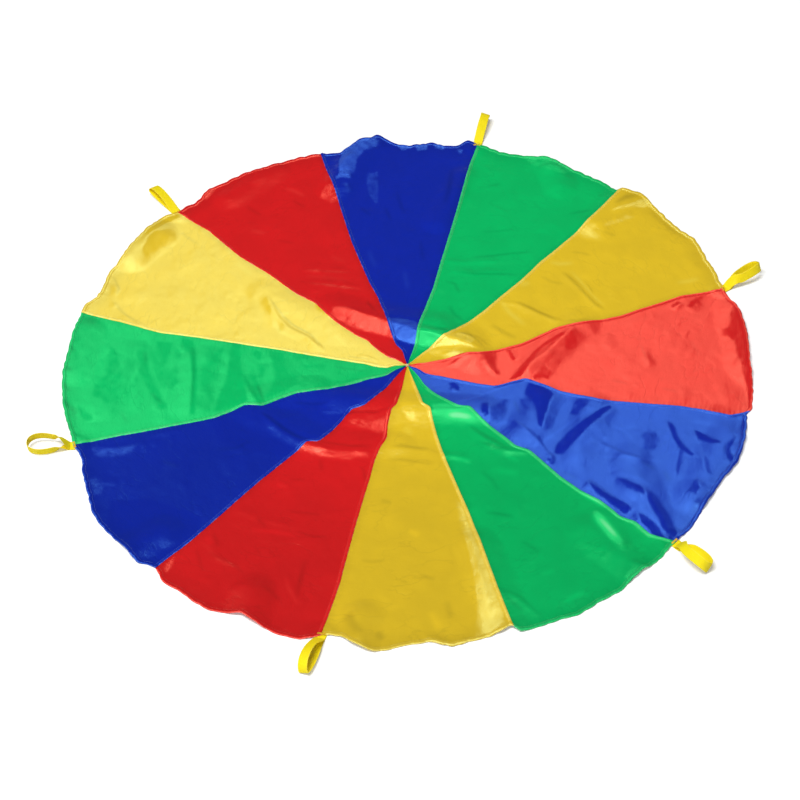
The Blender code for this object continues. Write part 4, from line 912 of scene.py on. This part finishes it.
def gore_points(number):
    """Grids of a gore: top, bottom, flat coordinates along its grain, and the fields that the material reads."""
    grain = seam_azimuth(number) - SECTOR / 2 + math.radians(GRAIN.get(number, 0))
    lean_x, lean_y = math.cos(grain), math.sin(grain)
    skew, shade = skews.get(number, np.zeros_like(PX)), shades[number]
    tops, bottoms, flats, fields = [], [], [], []
    for share, inset in gore_rows():
        nominal = TIP_RADIUS + (CANOPY_RADIUS - inset - TIP_RADIUS) * share
        width = SECTOR * nominal
        squeeze = min(1.0, BAND_SHARE * width / BAND_COLUMNS[-1])
        near = np.array(BAND_COLUMNS) * squeeze
        lap = min(LAP, LAP_SHARE * width)
        across = np.concatenate([near, np.linspace(near[-1], width, GORE_COLUMNS)[1:], [width + lap]])
        azimuth, radius = gore_place(number, across, share, inset, nominal)
        x, y = radius * np.cos(azimuth), radius * np.sin(azimuth)
        base = height_at(x, y)
        from_rim = rim_radius(azimuth) - radius
        seam = band_relief(across / squeeze, SEAM_BAND)
        hem = band_relief(from_rim, HEM_WIDTH)
        low = base + TUCK * np.clip((TUCK_END * squeeze - across) / TUCK_RUN / squeeze, 0, 1)
        top = low + SHEET + crossing(seam, hem)
        beyond = across > width - LAP_EDGE
        tops.append(np.stack([x, y, np.where(beyond, base + LAP_SHEET, top)], -1))
        bottoms.append(np.stack([x, y, np.where(beyond, base, low)], -1))
        flats.append(np.stack([x * lean_y - y * lean_x, x * lean_x + y * lean_y], -1))
        band = np.clip(np.maximum(seam, hem) / BAND_TOP, 0, 1)
        fields.append(np.stack([band, np.maximum(0, across), np.maximum(0, width - across), from_rim,
                                sampled(skew, x, y) / 360, sampled(shade, x, y)], -1))
    return [np.array(v) for v in (tops, bottoms, flats, fields)]


# What the cloth's material reads at each point, in the order of the fields above
FIELDS = ["band", "from_seam", "from_next", "from_rim", "skew", "shade"]


def grid_faces(rows, columns):
    index = np.arange(rows * columns).reshape(rows, columns)
    return index, np.stack([index[:-1, :-1], index[1:, :-1], index[1:, 1:], index[:-1, 1:]], -1).reshape(-1, 4)


def make_mesh(name, points, quads, uv, sharp=50):
    """A smooth mesh with flat coordinates, and with sharp edges from an angle in degrees."""
    mesh = bpy.data.meshes.new(name)
    mesh.from_pydata(np.asarray(points).tolist(), [], np.asarray(quads).tolist())
    layer = mesh.uv_layers.new(name="cloth")
    loops = np.zeros(len(mesh.loops), int)
    mesh.loops.foreach_get("vertex_index", loops)
    layer.data.foreach_set("uv", uv[loops].astype(np.float32).ravel())
    mesh.shade_smooth()
    mesh.set_sharp_from_angle(angle=math.radians(sharp))
    mesh.update()
    return mesh


def add_piece(name, mesh, material):
    piece = bpy.data.objects.new(name, mesh)
    bpy.context.scene.collection.objects.link(piece)
    mesh.materials.append(material)
    return piece


def sheet_mesh(name, top, bottom, flat, fields):
    rows, columns = top.shape[:2]
    points = np.concatenate([top.reshape(-1, 3), bottom.reshape(-1, 3)])
    index, upper = grid_faces(rows, columns)
    lower = upper[:, ::-1] + rows * columns
    ring = np.concatenate([index[0, :-1], index[:-1, -1], index[-1, :0:-1], index[:0:-1, 0]])
    after = np.roll(ring, -1)
    wall = np.stack([ring, after, after + rows * columns, ring + rows * columns], -1)
    uv = np.concatenate([flat.reshape(-1, 2)] * 2)
    mesh = make_mesh(name, points, np.concatenate([upper, lower, wall]), uv)
    for channel, label in enumerate(FIELDS):
        attribute = mesh.attributes.new(label, "FLOAT", "POINT")
        values = np.concatenate([fields[..., channel].ravel()] * 2)
        attribute.data.foreach_set("value", values.astype(np.float32))
    return mesh


THREAD_SIDES = 6
THREAD_TIP = 0.5  # a stitch's thickness at its ends, as a share


def tubes(name, lines, radius):
    """Short threads: one closed tube along each line of points."""
    lines = np.asarray(lines)
    count, steps = lines.shape[:2]
    tangent = np.gradient(lines, axis=1)
    tangent /= np.linalg.norm(tangent, axis=2, keepdims=True)
    side = np.cross(np.array([0, 0, 1.0]), tangent)
    side /= np.maximum(1e-9, np.linalg.norm(side, axis=2, keepdims=True))
    up = np.cross(tangent, side)
    thickness = np.full(steps, radius)
    thickness[[0, -1]] *= THREAD_TIP
    sides = THREAD_SIDES
    angles = np.arange(sides) * 2 * math.pi / sides
    ring = np.cos(angles)[:, None] * side[:, :, None] + np.sin(angles)[:, None] * up[:, :, None]
    points = lines[:, :, None] + ring * thickness[None, :, None, None]
    index = np.arange(steps * sides).reshape(steps, sides)
    along = np.roll(index, -1, axis=1)
    quads = np.stack([index[:-1], along[:-1], along[1:], index[1:]], -1).reshape(-1, 4)
    faces = (quads[None] + (np.arange(count) * steps * sides)[:, None, None]).reshape(-1, 4).tolist()
    caps = [index[0][::-1], index[-1]]
    faces += [(cap + line * steps * sides).tolist() for line in range(count) for cap in caps]
    mesh = bpy.data.meshes.new(name)
    mesh.from_pydata(points.reshape(-1, 3).tolist(), [], faces)
    mesh.shade_smooth()
    mesh.update()
    return mesh


def cloth_top(x, y):
    """The height of the cloth's upper face over some points, with its bands."""
    x, y = np.asarray(x, float), np.asarray(y, float)
    azimuth, radius = np.arctan2(y, x), np.hypot(x, y)
    nearest = np.full(x.shape, 10.0)
    for number in range(1, GORES + 1):
        behind = (seam_at(number, radius) - azimuth) % (2 * math.pi)
        nearest = np.minimum(nearest, behind * radius)
    seam = band_relief(nearest, SEAM_BAND)
    hem = band_relief(np.maximum(0, rim_radius(azimuth) - radius), HEM_WIDTH)
    return height_at(x, y) + SHEET + crossing(seam, hem)


STITCH_PITCH = 0.0036
STITCH_LENGTH = 0.0027
THREAD_RADIUS = 0.00036
STITCH_PLACES = [-0.5, -0.36, 0.0, 0.36, 0.5]  # a stitch's points, as shares of its length
STITCH_HEIGHTS = [-0.00030, 0.00006, 0.00016, 0.00006, -0.00030]  # and their heights over the cloth
SEAM_ROW_LIMIT = 0.95  # a radius beyond the rim everywhere
SEAM_ROW_END = 0.004  # how far from the rim a seam's row ends
HEM_ROW_RADIUS = 0.87  # the radius at which the ends of a hem's row are measured
HEM_ROW_START, HEM_ROW_END = 0.016, 0.003  # how far in from the gore's two seams it starts and ends
HEM_ROW_STEPS = 3000


def on_circle(radius, azimuth):
    return np.stack([radius * np.cos(azimuth), radius * np.sin(azimuth)], -1)


def walk(line):
    """How far each point lies along a line."""
    return np.append(0, np.cumsum(np.linalg.norm(np.diff(line, axis=0), axis=1)))


def headings(line):
    """The unit way along a line at each of its points."""
    heading = np.gradient(line, axis=0)
    return heading / np.linalg.norm(heading, axis=1, keepdims=True)


def stitch_lines(centres):
    """Stitches along a row, with their ends pulled down into the cloth."""
    steps = np.array(STITCH_PLACES) * STITCH_LENGTH
    flat = centres[:, None] + headings(centres)[:, None] * steps[None, :, None]
    level = cloth_top(centres[:, 0], centres[:, 1])
    return np.concatenate([flat, (level[:, None] + np.array(STITCH_HEIGHTS))[..., None]], -1)


def seam_stitches(number):
    radius = np.arange(SEAM_THREAD_START, SEAM_ROW_LIMIT, STITCH_PITCH)
    azimuth = seam_at(number, radius) - (SEAM_BAND - STITCH_INSET) / radius
    keep = radius < rim_radius(azimuth) - SEAM_ROW_END
    return stitch_lines(on_circle(radius[keep], azimuth[keep]))


def hem_stitches(number):
    start = seam_at(number, HEM_ROW_RADIUS) - HEM_ROW_START / HEM_ROW_RADIUS
    end = seam_at(number + 1, HEM_ROW_RADIUS) + HEM_ROW_END / HEM_ROW_RADIUS
    azimuth = np.linspace(start, end, HEM_ROW_STEPS)
    course = on_circle(rim_radius(azimuth) - (HEM_WIDTH - STITCH_INSET), azimuth)
    walked = walk(course)
    marks = np.arange(STITCH_PITCH / 2, walked[-1], STITCH_PITCH)
    return stitch_lines(np.stack([np.interp(marks, walked, course[:, k]) for k in (0, 1)], -1))


def strand_offset(x, opening):
    turn = math.acos(max(-1.0, min(1.0, 1 - 2 * x / LOOP_LINE)))
    slack = opening / 2 * math.sin(turn) * math.sin(turn / 2) / TEARDROP_PEAK
    return STRAND_OFF + slack


def laid(point, handle):
    """Where a point of the flat loop goes: twisted about its middle, its strip's edge on the floor."""
    twist, opening, tip_raise = handle[2:]
    out = min(1.0, max(0.0, point.x / LOOP_REACH))
    turned = math.radians(twist) * eased(min(1.0, out / TWIST_RUN_SHARE))
    offset = strand_offset(max(0.0, point.x), opening) + WEB_THICKNESS / 2
    rise = offset * math.cos(turned) + WEB_WIDTH / 2 * math.sin(turned) - STACK / 2
    y = point.y * math.cos(turned) - point.z * math.sin(turned)
    z = point.y * math.sin(turned) + point.z * math.cos(turned)
    return Vector((point.x, y + rise + tip_raise * out * out, z))


TAIL_STEPS, LOOP_STEPS = 8, 56  # points along one strand of the tail and of the loop
TIP_POWER = 24  # how abruptly the strands join at the loop's tip


def strip_line(opening):
    """The middle of the doubled strip from its upper end round the tip to its lower end."""
    upper = [(x, STRAND_OFF) for x in np.linspace(-(TAIL_SEWN + TAIL_PROUD + STACK / 2), -0.002, TAIL_STEPS)]
    for turn in np.linspace(0, math.pi, LOOP_STEPS):
        x = LOOP_LINE * (1 - math.cos(turn)) / 2
        slack = strand_offset(x, opening) - STRAND_OFF
        closing = math.sqrt(max(0.0, 1 - (turn / math.pi) ** TIP_POWER))
        upper.append((x, STRAND_OFF * closing + slack))
    return upper + [(x, -y) for x, y in reversed(upper[:-1])]


# The webbing's section: across the width as a share of it, and the thickness there as a share
WEB_SECTION = [
    (-0.5, 0.35), (-0.488, 0.75), (-0.46, 0.95), (-0.30, 1.0), (-0.12, 0.94), (0.06, 1.0),
    (0.25, 0.94), (0.42, 1.0), (0.475, 0.88), (0.495, 0.6), (0.5, 0.35),
]
FLOOR_EASE = 0.0002  # the webbing stays this far off the floor


def strip_mesh(index, handle):
    line = np.array(strip_line(handle[3]))
    tangent = headings(line)
    normal = np.stack([-tangent[:, 1], tangent[:, 0]], -1)
    turn = rim_frame(*handle[:2])[0]
    hinge = hinge_point(handle)
    section = WEB_SECTION + [(a, -t) for a, t in reversed(WEB_SECTION)]
    points, uv = [], []
    for place, away, run in zip(line, normal, walk(line)):
        for across, thick in section:
            flat = place + away * thick * WEB_THICKNESS / 2
            point = laid(Vector((flat[0], flat[1], across * WEB_WIDTH)), handle)
            spot = hinge + turn @ point
            spot.z = max(FLOOR_EASE, spot.z)
            points.append(spot)
            uv.append((across * WEB_WIDTH, run))
    rows, columns = len(line), len(section)
    grid = np.arange(rows * columns).reshape(rows, columns)
    after = np.roll(grid, -1, axis=1)
    quads = np.stack([grid[:-1], grid[1:], after[1:], after[:-1]], -1).reshape(-1, 4).tolist()
    for cap in (grid[0].tolist(), grid[-1][::-1].tolist()):
        for k in range(columns // 2 - 1):
            quads.append((cap[k], cap[k + 1], cap[columns - 2 - k], cap[columns - 1 - k]))
    return make_mesh(f"handle_{index}", points, quads, np.array(uv), sharp=40)


def hinge_point(handle):
    turn, rim = rim_frame(*handle[:2])
    nose = STACK / 2
    return rim + turn @ Vector((TAIL_PROUD + nose + PIECE_GAP, nose, 0))


TACK_STITCHES = 27
TACK_LEAN = 0.00035  # how far a tack stitch's ends lie to the sides of its middle
TACK_PLACES = [(-0.5, -1), (-0.42, -1), (0, 0), (0.42, 1), (0.5, 1)]  # its points' shares of the width, and sides
TACK_HEIGHTS = [-0.0004, 0.0001, 0.0003, 0.0001, -0.0004]  # and their heights over the cloth
TACK_THREAD_RADIUS = 0.00042


def bar_tack_lines(handle):
    """Dense zigzag stitches across the hem, over the tail."""
    turn, rim = rim_frame(handle[0])
    middle = rim + turn @ Vector((-TACK_BAR_INSET - TACK_BAR_WIDTH / 2, 0, 0))
    lines = []
    places = np.linspace(-0.5, 0.5, TACK_STITCHES) * (TACK_BAR_LENGTH - 0.001)
    for k, across in enumerate(places):
        lean = TACK_LEAN * (-1) ** k
        ends = [(share, across + side * lean) for share, side in TACK_PLACES]
        spots = [middle + turn @ Vector((share * TACK_BAR_WIDTH, 0, z)) for share, z in ends]
        tops = cloth_top([s.x for s in spots], [s.y for s in spots])
        level = np.maximum(tops, tops.mean() - 0.0002)
        lines.append([(s.x, s.y, z + d) for s, z, d in zip(spots, level, TACK_HEIGHTS)])
    return np.array(lines)


KNOT_STITCHES = 15
KNOT_TURN = 7  # how many stitches' turn lies between one and the next
KNOT_REACH = (0.0056, 0.0005)  # half a stitch's length: the least, and how much more at random
KNOT_RISE, KNOT_GROWTH = 0.0012, 0.0011  # height of the first stitch's middle, and how much higher the last is
KNOT_SUNK = 0.0003  # how far the ends lie below the cloth's upper face


def centre_tack_lines():
    """Stitches across the meeting gore tips, each over the last."""
    lines = []
    shares = np.linspace(-1, 1, 9)
    level = float(cloth_top(0.006, 0.0))
    for k in range(KNOT_STITCHES):
        azimuth = (k * KNOT_TURN % KNOT_STITCHES) * math.pi / KNOT_STITCHES + rng.normal(0, 0.05)
        reach = drawn(*KNOT_REACH)
        shift = rng.normal(0, 0.0004)
        x = shares * reach * math.cos(azimuth) - shift * math.sin(azimuth)
        y = shares * reach * math.sin(azimuth) + shift * math.cos(azimuth)
        rise = (KNOT_RISE + KNOT_GROWTH * k / KNOT_STITCHES) * (1 - shares ** 2) ** 0.7 - KNOT_SUNK
        lines.append(np.stack([x, y, level + rise], -1))
    return np.array(lines)


def linear(*rgb):
    """A colour given as a screen's 0 to 255, as linear light."""
    shares = (v / 255 for v in rgb)
    return tuple(v / 12.92 if v <= 0.04045 else ((v + 0.055) / 1.055) ** 2.4 for v in shares)


class Tree:
    """A material's nodes, wired by short calls."""

    def __init__(self, name):
        self.material = bpy.data.materials.new(name)
        self.material.use_nodes = True
        self.tree = self.material.node_tree
        self.shader = self.tree.nodes["Principled BSDF"]

    def put(self, socket, value):
        if isinstance(value, bpy.types.NodeSocket):
            self.tree.links.new(value, socket)
        elif isinstance(value, tuple) and len(value) == 3 and socket.type == "RGBA":
            socket.default_value = (*value, 1)
        else:
            socket.default_value = value

    def math(self, operation, *values, clamp=False):
        node = self.tree.nodes.new("ShaderNodeMath")
        node.operation = operation
        node.use_clamp = clamp
        for socket, value in zip(node.inputs, values):
            self.put(socket, value)
        return node.outputs[0]

    def total(self, *values):
        result = values[0]
        for value in values[1:]:
            result = self.math("ADD", result, value)
        return result

    def product(self, *values):
        result = values[0]
        for value in values[1:]:
            result = self.math("MULTIPLY", result, value)
        return result

    def mix(self, factor, a, b):
        node = self.tree.nodes.new("ShaderNodeMix")
        node.data_type = "RGBA"
        self.put(node.inputs["Factor"], factor)
        self.put(node.inputs["A"], a)
        self.put(node.inputs["B"], b)
        return node.outputs["Result"]

    def span(self, value, low, high, to_low=0.0, to_high=1.0):
        node = self.tree.nodes.new("ShaderNodeMapRange")
        node.interpolation_type = "SMOOTHSTEP"
        labels = ("Value", "From Min", "From Max", "To Min", "To Max")
        for label, number in zip(labels, (value, low, high, to_low, to_high)):
            self.put(node.inputs[label], number)
        return node.outputs["Result"]

    def field(self, label):
        node = self.tree.nodes.new("ShaderNodeAttribute")
        node.attribute_name = label
        return node.outputs["Fac"]

    def cloth_uv(self):
        node = self.tree.nodes.new("ShaderNodeUVMap")
        node.uv_map = "cloth"
        return node.outputs["UV"]

    def place(self):
        return self.tree.nodes.new("ShaderNodeTexCoord").outputs["Object"]

    def stretch(self, vector, scale):
        node = self.tree.nodes.new("ShaderNodeVectorMath")
        node.operation = "MULTIPLY"
        self.put(node.inputs[0], vector)
        node.inputs[1].default_value = scale
        return node.outputs["Vector"]

    def noise(self, vector, scale, detail=2.0, rough=0.5):
        node = self.tree.nodes.new("ShaderNodeTexNoise")
        self.put(node.inputs["Vector"], vector)
        node.inputs["Scale"].default_value = scale
        node.inputs["Detail"].default_value = detail
        node.inputs["Roughness"].default_value = rough
        return node.outputs["Fac"]

    def parts(self, vector):
        node = self.tree.nodes.new("ShaderNodeSeparateXYZ")
        self.put(node.inputs[0], vector)
        return node.outputs[0], node.outputs[1]

    def wave(self, value, period, phase=0.0):
        turned = self.math("MULTIPLY", value, 2 * math.pi / period)
        return self.math("SINE", self.math("ADD", turned, phase))

    def bump(self, height):
        """Height in metres."""
        node = self.tree.nodes.new("ShaderNodeBump")
        node.inputs["Strength"].default_value = 1.0
        node.inputs["Distance"].default_value = 1.0
        self.put(node.inputs["Height"], height)
        self.tree.links.new(node.outputs["Normal"], self.shader.inputs["Normal"])

    def finish(self, **values):
        for label, value in values.items():
            self.put(self.shader.inputs[label.replace("_", " ")], value)
        return self.material


# Cloth colours: the dye, and the filaments' shine: its tint and its refractive index
DYES = {
    "red": (linear(236, 13, 27), (1.0, 0.24, 0.155), 2.25),
    "blue": (linear(6, 28, 172), (0.12, 0.37, 1.0), 1.95),
    "green": (linear(0, 192, 101), (0.07, 0.61, 0.20), 1.9),
    "yellow": (linear(243, 203, 28), (0.76, 0.96, 0.44), 1.9),
}


# the same pale is also where painted sheen and painted highlights go
PALE = 0.8  # what worn cloth fades to


def scaled(colour, share):
    return tuple(min(1.0, v * share) for v in colour)


def blended(colour, other, share):
    return tuple(min(1.0, v + w * share) for v, w in zip(colour, other))


def paled(colour, share):
    return tuple(v + (PALE - v) * share for v in colour)


def taffeta(colour):
    """Filament taffeta: shiny across its threads, crumpled, puckered at seams and worn at folded edges, with
    painted shade toward the rim, along each gore's next seam and in creases, and painted sheen and highlights on
    seam bands and streaks.
    """
    dye, shine, index = DYES[colour]
    made = Tree(f"taffeta_{colour}")
    uv = made.cloth_uv()
    across, along = made.parts(uv)
    reach = made.math("SQRT", made.total(made.product(across, across), made.product(along, along)))
    from_seam, from_next, from_rim, skew, shade = (made.field(label) for label in FIELDS[1:])
    band = made.field("band")
    patches = made.noise(uv, 11, 3)
    slubs = made.noise(made.stretch(uv, (55, 1500, 1)), 1, 2)
    fibres = made.noise(made.stretch(uv, (2200, 40, 1)), 1, 2)
    wear_and_sheen_blotches = made.noise(uv, 70, 4, 0.6)
    tone = made.mix(made.span(patches, 0.3, 0.7), scaled(dye, 0.96), scaled(dye, 1.04))
    tone = made.mix(made.product(made.span(slubs, 0.35, 0.75), 0.14), tone, paled(dye, 0.05))
    tone = made.mix(made.product(made.span(fibres, 0.4, 0.8), 0.10), tone, scaled(dye, 0.75))
    # painted shade: darker toward the rim
    painted_rim_shade = made.product(made.span(made.total(from_rim, made.product(patches, 0.02)), 0.075, 0.015), 0.22)
    tone = made.mix(painted_rim_shade, tone, scaled(dye, 0.45))
    # painted shade: darker along the gore's next seam
    painted_seam_shade = made.product(made.span(made.total(from_next, made.product(patches, 0.02)), 0.03, 0.006), 0.26)
    tone = made.mix(painted_seam_shade, tone, scaled(dye, 0.5))
    wrinkles = made.noise(made.stretch(uv, (8, 15, 1)), 1, 3, 0.55)
    off_middle = made.math("ABSOLUTE", made.math("SUBTRACT", wrinkles, 0.5))
    creased = made.math("EXPONENT", made.product(off_middle, -1 / 0.012))
    # painted shade: darker along fine crease lines
    painted_crease_shade = made.product(creased, made.span(patches, 0.4, 0.62), 0.16)
    # painted shade: the dark soft creases together with the fine crease lines
    painted_shade = made.math("ADD", made.product(shade, -1.0), painted_crease_shade, clamp=True)
    tone = made.mix(painted_shade, tone, scaled(dye, 0.42))
    # painted highlights: the light soft creases and streaks, going pale where brightest
    tone = made.mix(made.product(made.math("MAXIMUM", shade, 0.0), 0.7), tone, blended(dye, shine, 0.3))
    tone = made.mix(made.span(shade, 0.4, 0.9, 0.0, 0.22), tone, (PALE, PALE, PALE))
    # painted sheen on the seam bands, less on the hem, in blotches
    hem = made.span(from_rim, HEM_WIDTH + 0.001, HEM_WIDTH)
    off_hem = made.math("SUBTRACT", 1.0, made.product(hem, 0.75))
    painted_band_sheen = made.product(band, off_hem, made.span(wear_and_sheen_blotches, 0.25, 0.7, 0.35, 0.85))
    bright = colour in ("green", "yellow")
    band_sheen_tone = paled(blended(dye, shine, 0.15), 0.06) if bright else blended(dye, shine, 0.05)
    tone = made.mix(painted_band_sheen, tone, band_sheen_tone)
    nearest_fold = made.math("MINIMUM", from_seam, from_rim)
    wear = made.product(made.span(nearest_fold, 0.0018, 0.0002), made.span(wear_and_sheen_blotches, 0.45, 0.62), 0.55)
    tone = made.mix(wear, tone, paled(dye, 0.45))
    rough = made.total(0.37, made.product(wear_and_sheen_blotches, 0.10), made.product(band, 0.05), made.product(wear, 0.12))
    sway = made.noise(uv, 26, 2)
    seam_wave = made.wave(reach, 0.0125, made.product(sway, 9.0))
    seam_pull = made.math("EXPONENT", made.product(made.math("MINIMUM", from_seam, from_next), -1 / 0.013))
    turn = made.math("ARCTAN2", across, along)
    hem_wave = made.wave(made.product(turn, CANOPY_RADIUS), 0.0115, made.product(sway, 8.0))
    hem_pull = made.math("EXPONENT", made.product(from_rim, -1 / 0.013))
    weave = made.product(made.wave(across, 0.00062), made.wave(along, 0.00062), 0.000018)
    height = made.total(
        weave,
        made.product(creased, made.span(patches, 0.42, 0.62), 0.0002),
        made.product(seam_wave, seam_pull, made.span(reach, 0.05, 0.3), 0.00011),
        made.product(hem_wave, hem_pull, 0.00016),
        made.product(made.noise(uv, 34, 2, 0.5), 0.0006),
        made.product(made.noise(made.stretch(uv, (60, 150, 1)), 1, 2, 0.5), 0.00018),
    )
    made.bump(height)
    tangent = made.tree.nodes.new("ShaderNodeTangent")
    tangent.direction_type = "UV_MAP"
    tangent.uv_map = "cloth"
    return made.finish(Base_Color=tone, Roughness=rough, IOR=index, Specular_IOR_Level=1.0, Specular_Tint=shine,
                       Anisotropic=0.95, Anisotropic_Rotation=skew, Tangent=tangent.outputs["Tangent"])


def webbing():
    """Flat woven webbing: ribs across, warp lines along, painted shade in the hollows of its weave, soiled in
    blotches, paler at its edges, with a fuzzy sheen.
    """
    made = Tree("webbing_yellow")
    uv = made.cloth_uv()
    across, along = made.parts(uv)
    edge = made.span(made.math("ABSOLUTE", across), 0.0105, 0.0124)
    ribs = made.wave(along, 0.0019, made.product(made.math("ABSOLUTE", made.wave(across, 0.0125)), 1.6))
    warp = made.wave(across, 0.0017)
    weave = made.product(ribs, warp)
    soil = made.noise(uv, 95, 4, 0.6)
    dye = linear(255, 238, 6)
    # painted shade: deeper yellow where the weave's bump is low
    tone = made.mix(made.span(weave, -0.9, 0.0), linear(255, 214, 0), dye)
    tone = made.mix(made.product(made.span(soil, 0.5, 0.8), 0.16), tone, linear(240, 196, 16))
    tone = made.mix(made.product(edge, 0.3), tone, linear(255, 236, 100))
    rough = made.total(0.52, made.product(soil, 0.16))
    made.bump(made.total(made.product(weave, 0.00014), made.product(ribs, 0.00008), made.product(soil, 0.0003)))
    return made.finish(Base_Color=tone, Roughness=rough, Specular_IOR_Level=0.3,
                       Sheen_Weight=0.35, Sheen_Roughness=0.5, Sheen_Tint=(1.0, 0.78, 0.08))


def yarn(name, dye, dark):
    """Spun thread with its ply, painted shade in the grooves between plies, and soil."""
    made = Tree(name)
    place = made.place()
    ply = made.noise(place, 2600, 2)
    soil = made.noise(place, 160, 3)
    # painted shade: darker where the ply's bump is low, in the grooves between plies
    tone = made.mix(made.span(ply, 0.35, 0.65), dark, dye)
    tone = made.mix(made.product(made.span(soil, 0.45, 0.75), 0.3), tone, dark)
    made.bump(made.product(ply, 0.00012))
    return made.finish(Base_Color=tone, Roughness=made.total(0.5, made.product(soil, 0.2)), Sheen_Weight=0.3,
                       Sheen_Roughness=0.5, Sheen_Tint=dye)


THREADS = {
    "red": yarn("thread_on_red", linear(226, 92, 84), linear(170, 40, 36)),
    "blue": yarn("thread_on_blue", linear(104, 134, 214), linear(50, 74, 150)),
    "green": yarn("thread_on_green", linear(112, 214, 154), linear(40, 150, 90)),
    "yellow": yarn("thread_on_yellow", linear(248, 232, 128), linear(200, 168, 50)),
}
THREAD = yarn("thread_pale", linear(236, 224, 170), linear(180, 160, 90))
TACK_THREAD = yarn("thread_yellow", linear(250, 216, 40), linear(205, 150, 8))
WEBBING = webbing()
TAFFETA = {colour: taffeta(colour) for colour in DYES}


def spread(piece):
    """Bakes the piece's transform into its mesh."""
    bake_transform(piece)


for number, colour in enumerate(COLOURS, 1):
    cloth_mesh = sheet_mesh(f"cloth_{number:02d}", *gore_points(number))
    seam_mesh = tubes("seam_thread", seam_stitches(number), THREAD_RADIUS)
    hem_mesh = tubes("hem_thread", hem_stitches(number), THREAD_RADIUS)
    gore = add_piece(f"cloth_{number:02d}_{colour}", cloth_mesh, TAFFETA[colour])
    seam = add_piece(f"seam_thread_{number:02d}", seam_mesh, THREADS[colour])
    hem = add_piece(f"hem_thread_{number:02d}", hem_mesh, THREADS[colour])
    for piece, node, slot in ((gore, f"gore_{number:02d}_{colour}", f"cloth_{colour}"),
                              (seam, f"seam_stitching_{number:02d}", "thread"),
                              (hem, f"hem_stitching_{number:02d}", "thread")):
        spread(piece)
        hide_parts(node)

centre = add_piece("centre_knot", tubes("centre_knot", centre_tack_lines(), TACK_THREAD_RADIUS), THREAD)
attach(centre, "near_half")
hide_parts("centre_tack")

FAR_HANDLES = (1, 2, 6)
for index, handle in enumerate(HANDLES, 1):
    half = "far_half" if index in FAR_HANDLES else "near_half"
    strip = add_piece(f"handle_{index}_webbing", strip_mesh(index, handle), WEBBING)
    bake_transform(strip)
    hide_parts(f"handle_{index}_tail", f"handle_{index}_loop")
    tack_mesh = tubes("tack", bar_tack_lines(handle), TACK_THREAD_RADIUS)
    tack = add_piece(f"handle_{index}_tack_stitches", tack_mesh, TACK_THREAD)
    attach(tack, half)
    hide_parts(f"handle_{index}_bar_tack")


# Floor, lights and camera
FLOOR_HALF = 9
FLOOR_DROP = 0.0002
floor_mesh = bpy.data.meshes.new("floor")
corners = [(x * FLOOR_HALF, y * FLOOR_HALF, 0) for x, y in ((-1, -1), (1, -1), (1, 1), (-1, 1))]
floor_mesh.from_pydata(corners, [], [(0, 1, 2, 3)])
paint = Tree("floor")
rays = paint.tree.nodes.new("ShaderNodeLightPath")
seen = paint.math("ADD", rays.outputs["Is Camera Ray"], rays.outputs["Is Glossy Ray"])
seen = paint.math("ADD", seen, rays.outputs["Is Transmission Ray"], clamp=True)
floor_x, floor_y = paint.parts(paint.place())
distance = paint.math("SQRT", paint.total(paint.product(floor_x, floor_x), paint.product(floor_y, floor_y)))
glow = paint.product(seen, paint.span(distance, 1.7, 4.0, 0.15, 1.0))
floor_tone = paint.mix(seen, (0.6, 0.6, 0.6), (1.0, 1.0, 1.0))
paint.finish(Base_Color=floor_tone, Roughness=0.9, Specular_IOR_Level=0.0,
             Emission_Color=(1.0, 1.0, 1.0), Emission_Strength=glow)
floor = add_piece("floor", floor_mesh, paint.material)
floor.location.z = -FLOOR_DROP

world = bpy.data.worlds.new("studio")
bpy.context.scene.world = world
world.use_nodes = True
nodes, links = world.node_tree.nodes, world.node_tree.links
background = nodes["Background"]
rays = nodes.new("ShaderNodeLightPath")
strength = nodes.new("ShaderNodeMix")
strength.data_type = "FLOAT"
strength.inputs["A"].default_value = 0.15
strength.inputs["B"].default_value = 1.0
links.new(rays.outputs["Is Camera Ray"], strength.inputs["Factor"])
links.new(strength.outputs["Result"], background.inputs["Strength"])
background.inputs["Color"].default_value = (1, 1, 1, 1)


def soft_light(name, place, size, level):
    """A lamp aimed at the origin, its longer side level with the picture.

    Level is the white that it gives a surface that faces it.
    """
    data = bpy.data.lights.new(name, "AREA")
    data.shape = "RECTANGLE"
    data.size, data.size_y = size
    data.energy = level * math.pi ** 2 * place.length_squared
    lamp = bpy.data.objects.new(name, data)
    bpy.context.scene.collection.objects.link(lamp)
    toward = place.normalized()
    flat = (RIGHT - toward * RIGHT.dot(toward)).normalized()
    turn = Matrix((flat, toward.cross(flat), toward)).transposed()
    lamp.matrix_world = Matrix.Translation(place) @ turn.to_4x4()


soft_light("key", KEY_PLACE, (6.0, 2.8), 0.9)
soft_light("fill", FILL_PLACE, (4.0, 2.4), 0.3)

camera_data = bpy.data.cameras.new("camera")
camera_data.lens = LENS
camera_data.sensor_width = SENSOR
camera = bpy.data.objects.new("camera", camera_data)
bpy.context.scene.collection.objects.link(camera)
camera.location = CAMERA_PLACE
camera.rotation_mode = "QUATERNION"
camera.rotation_quaternion = CAMERA_TURN
camera_data.clip_start, camera_data.clip_end = 0.1, 100
bpy.context.scene.camera = camera
bpy.context.scene.view_settings.view_transform = "Standard"
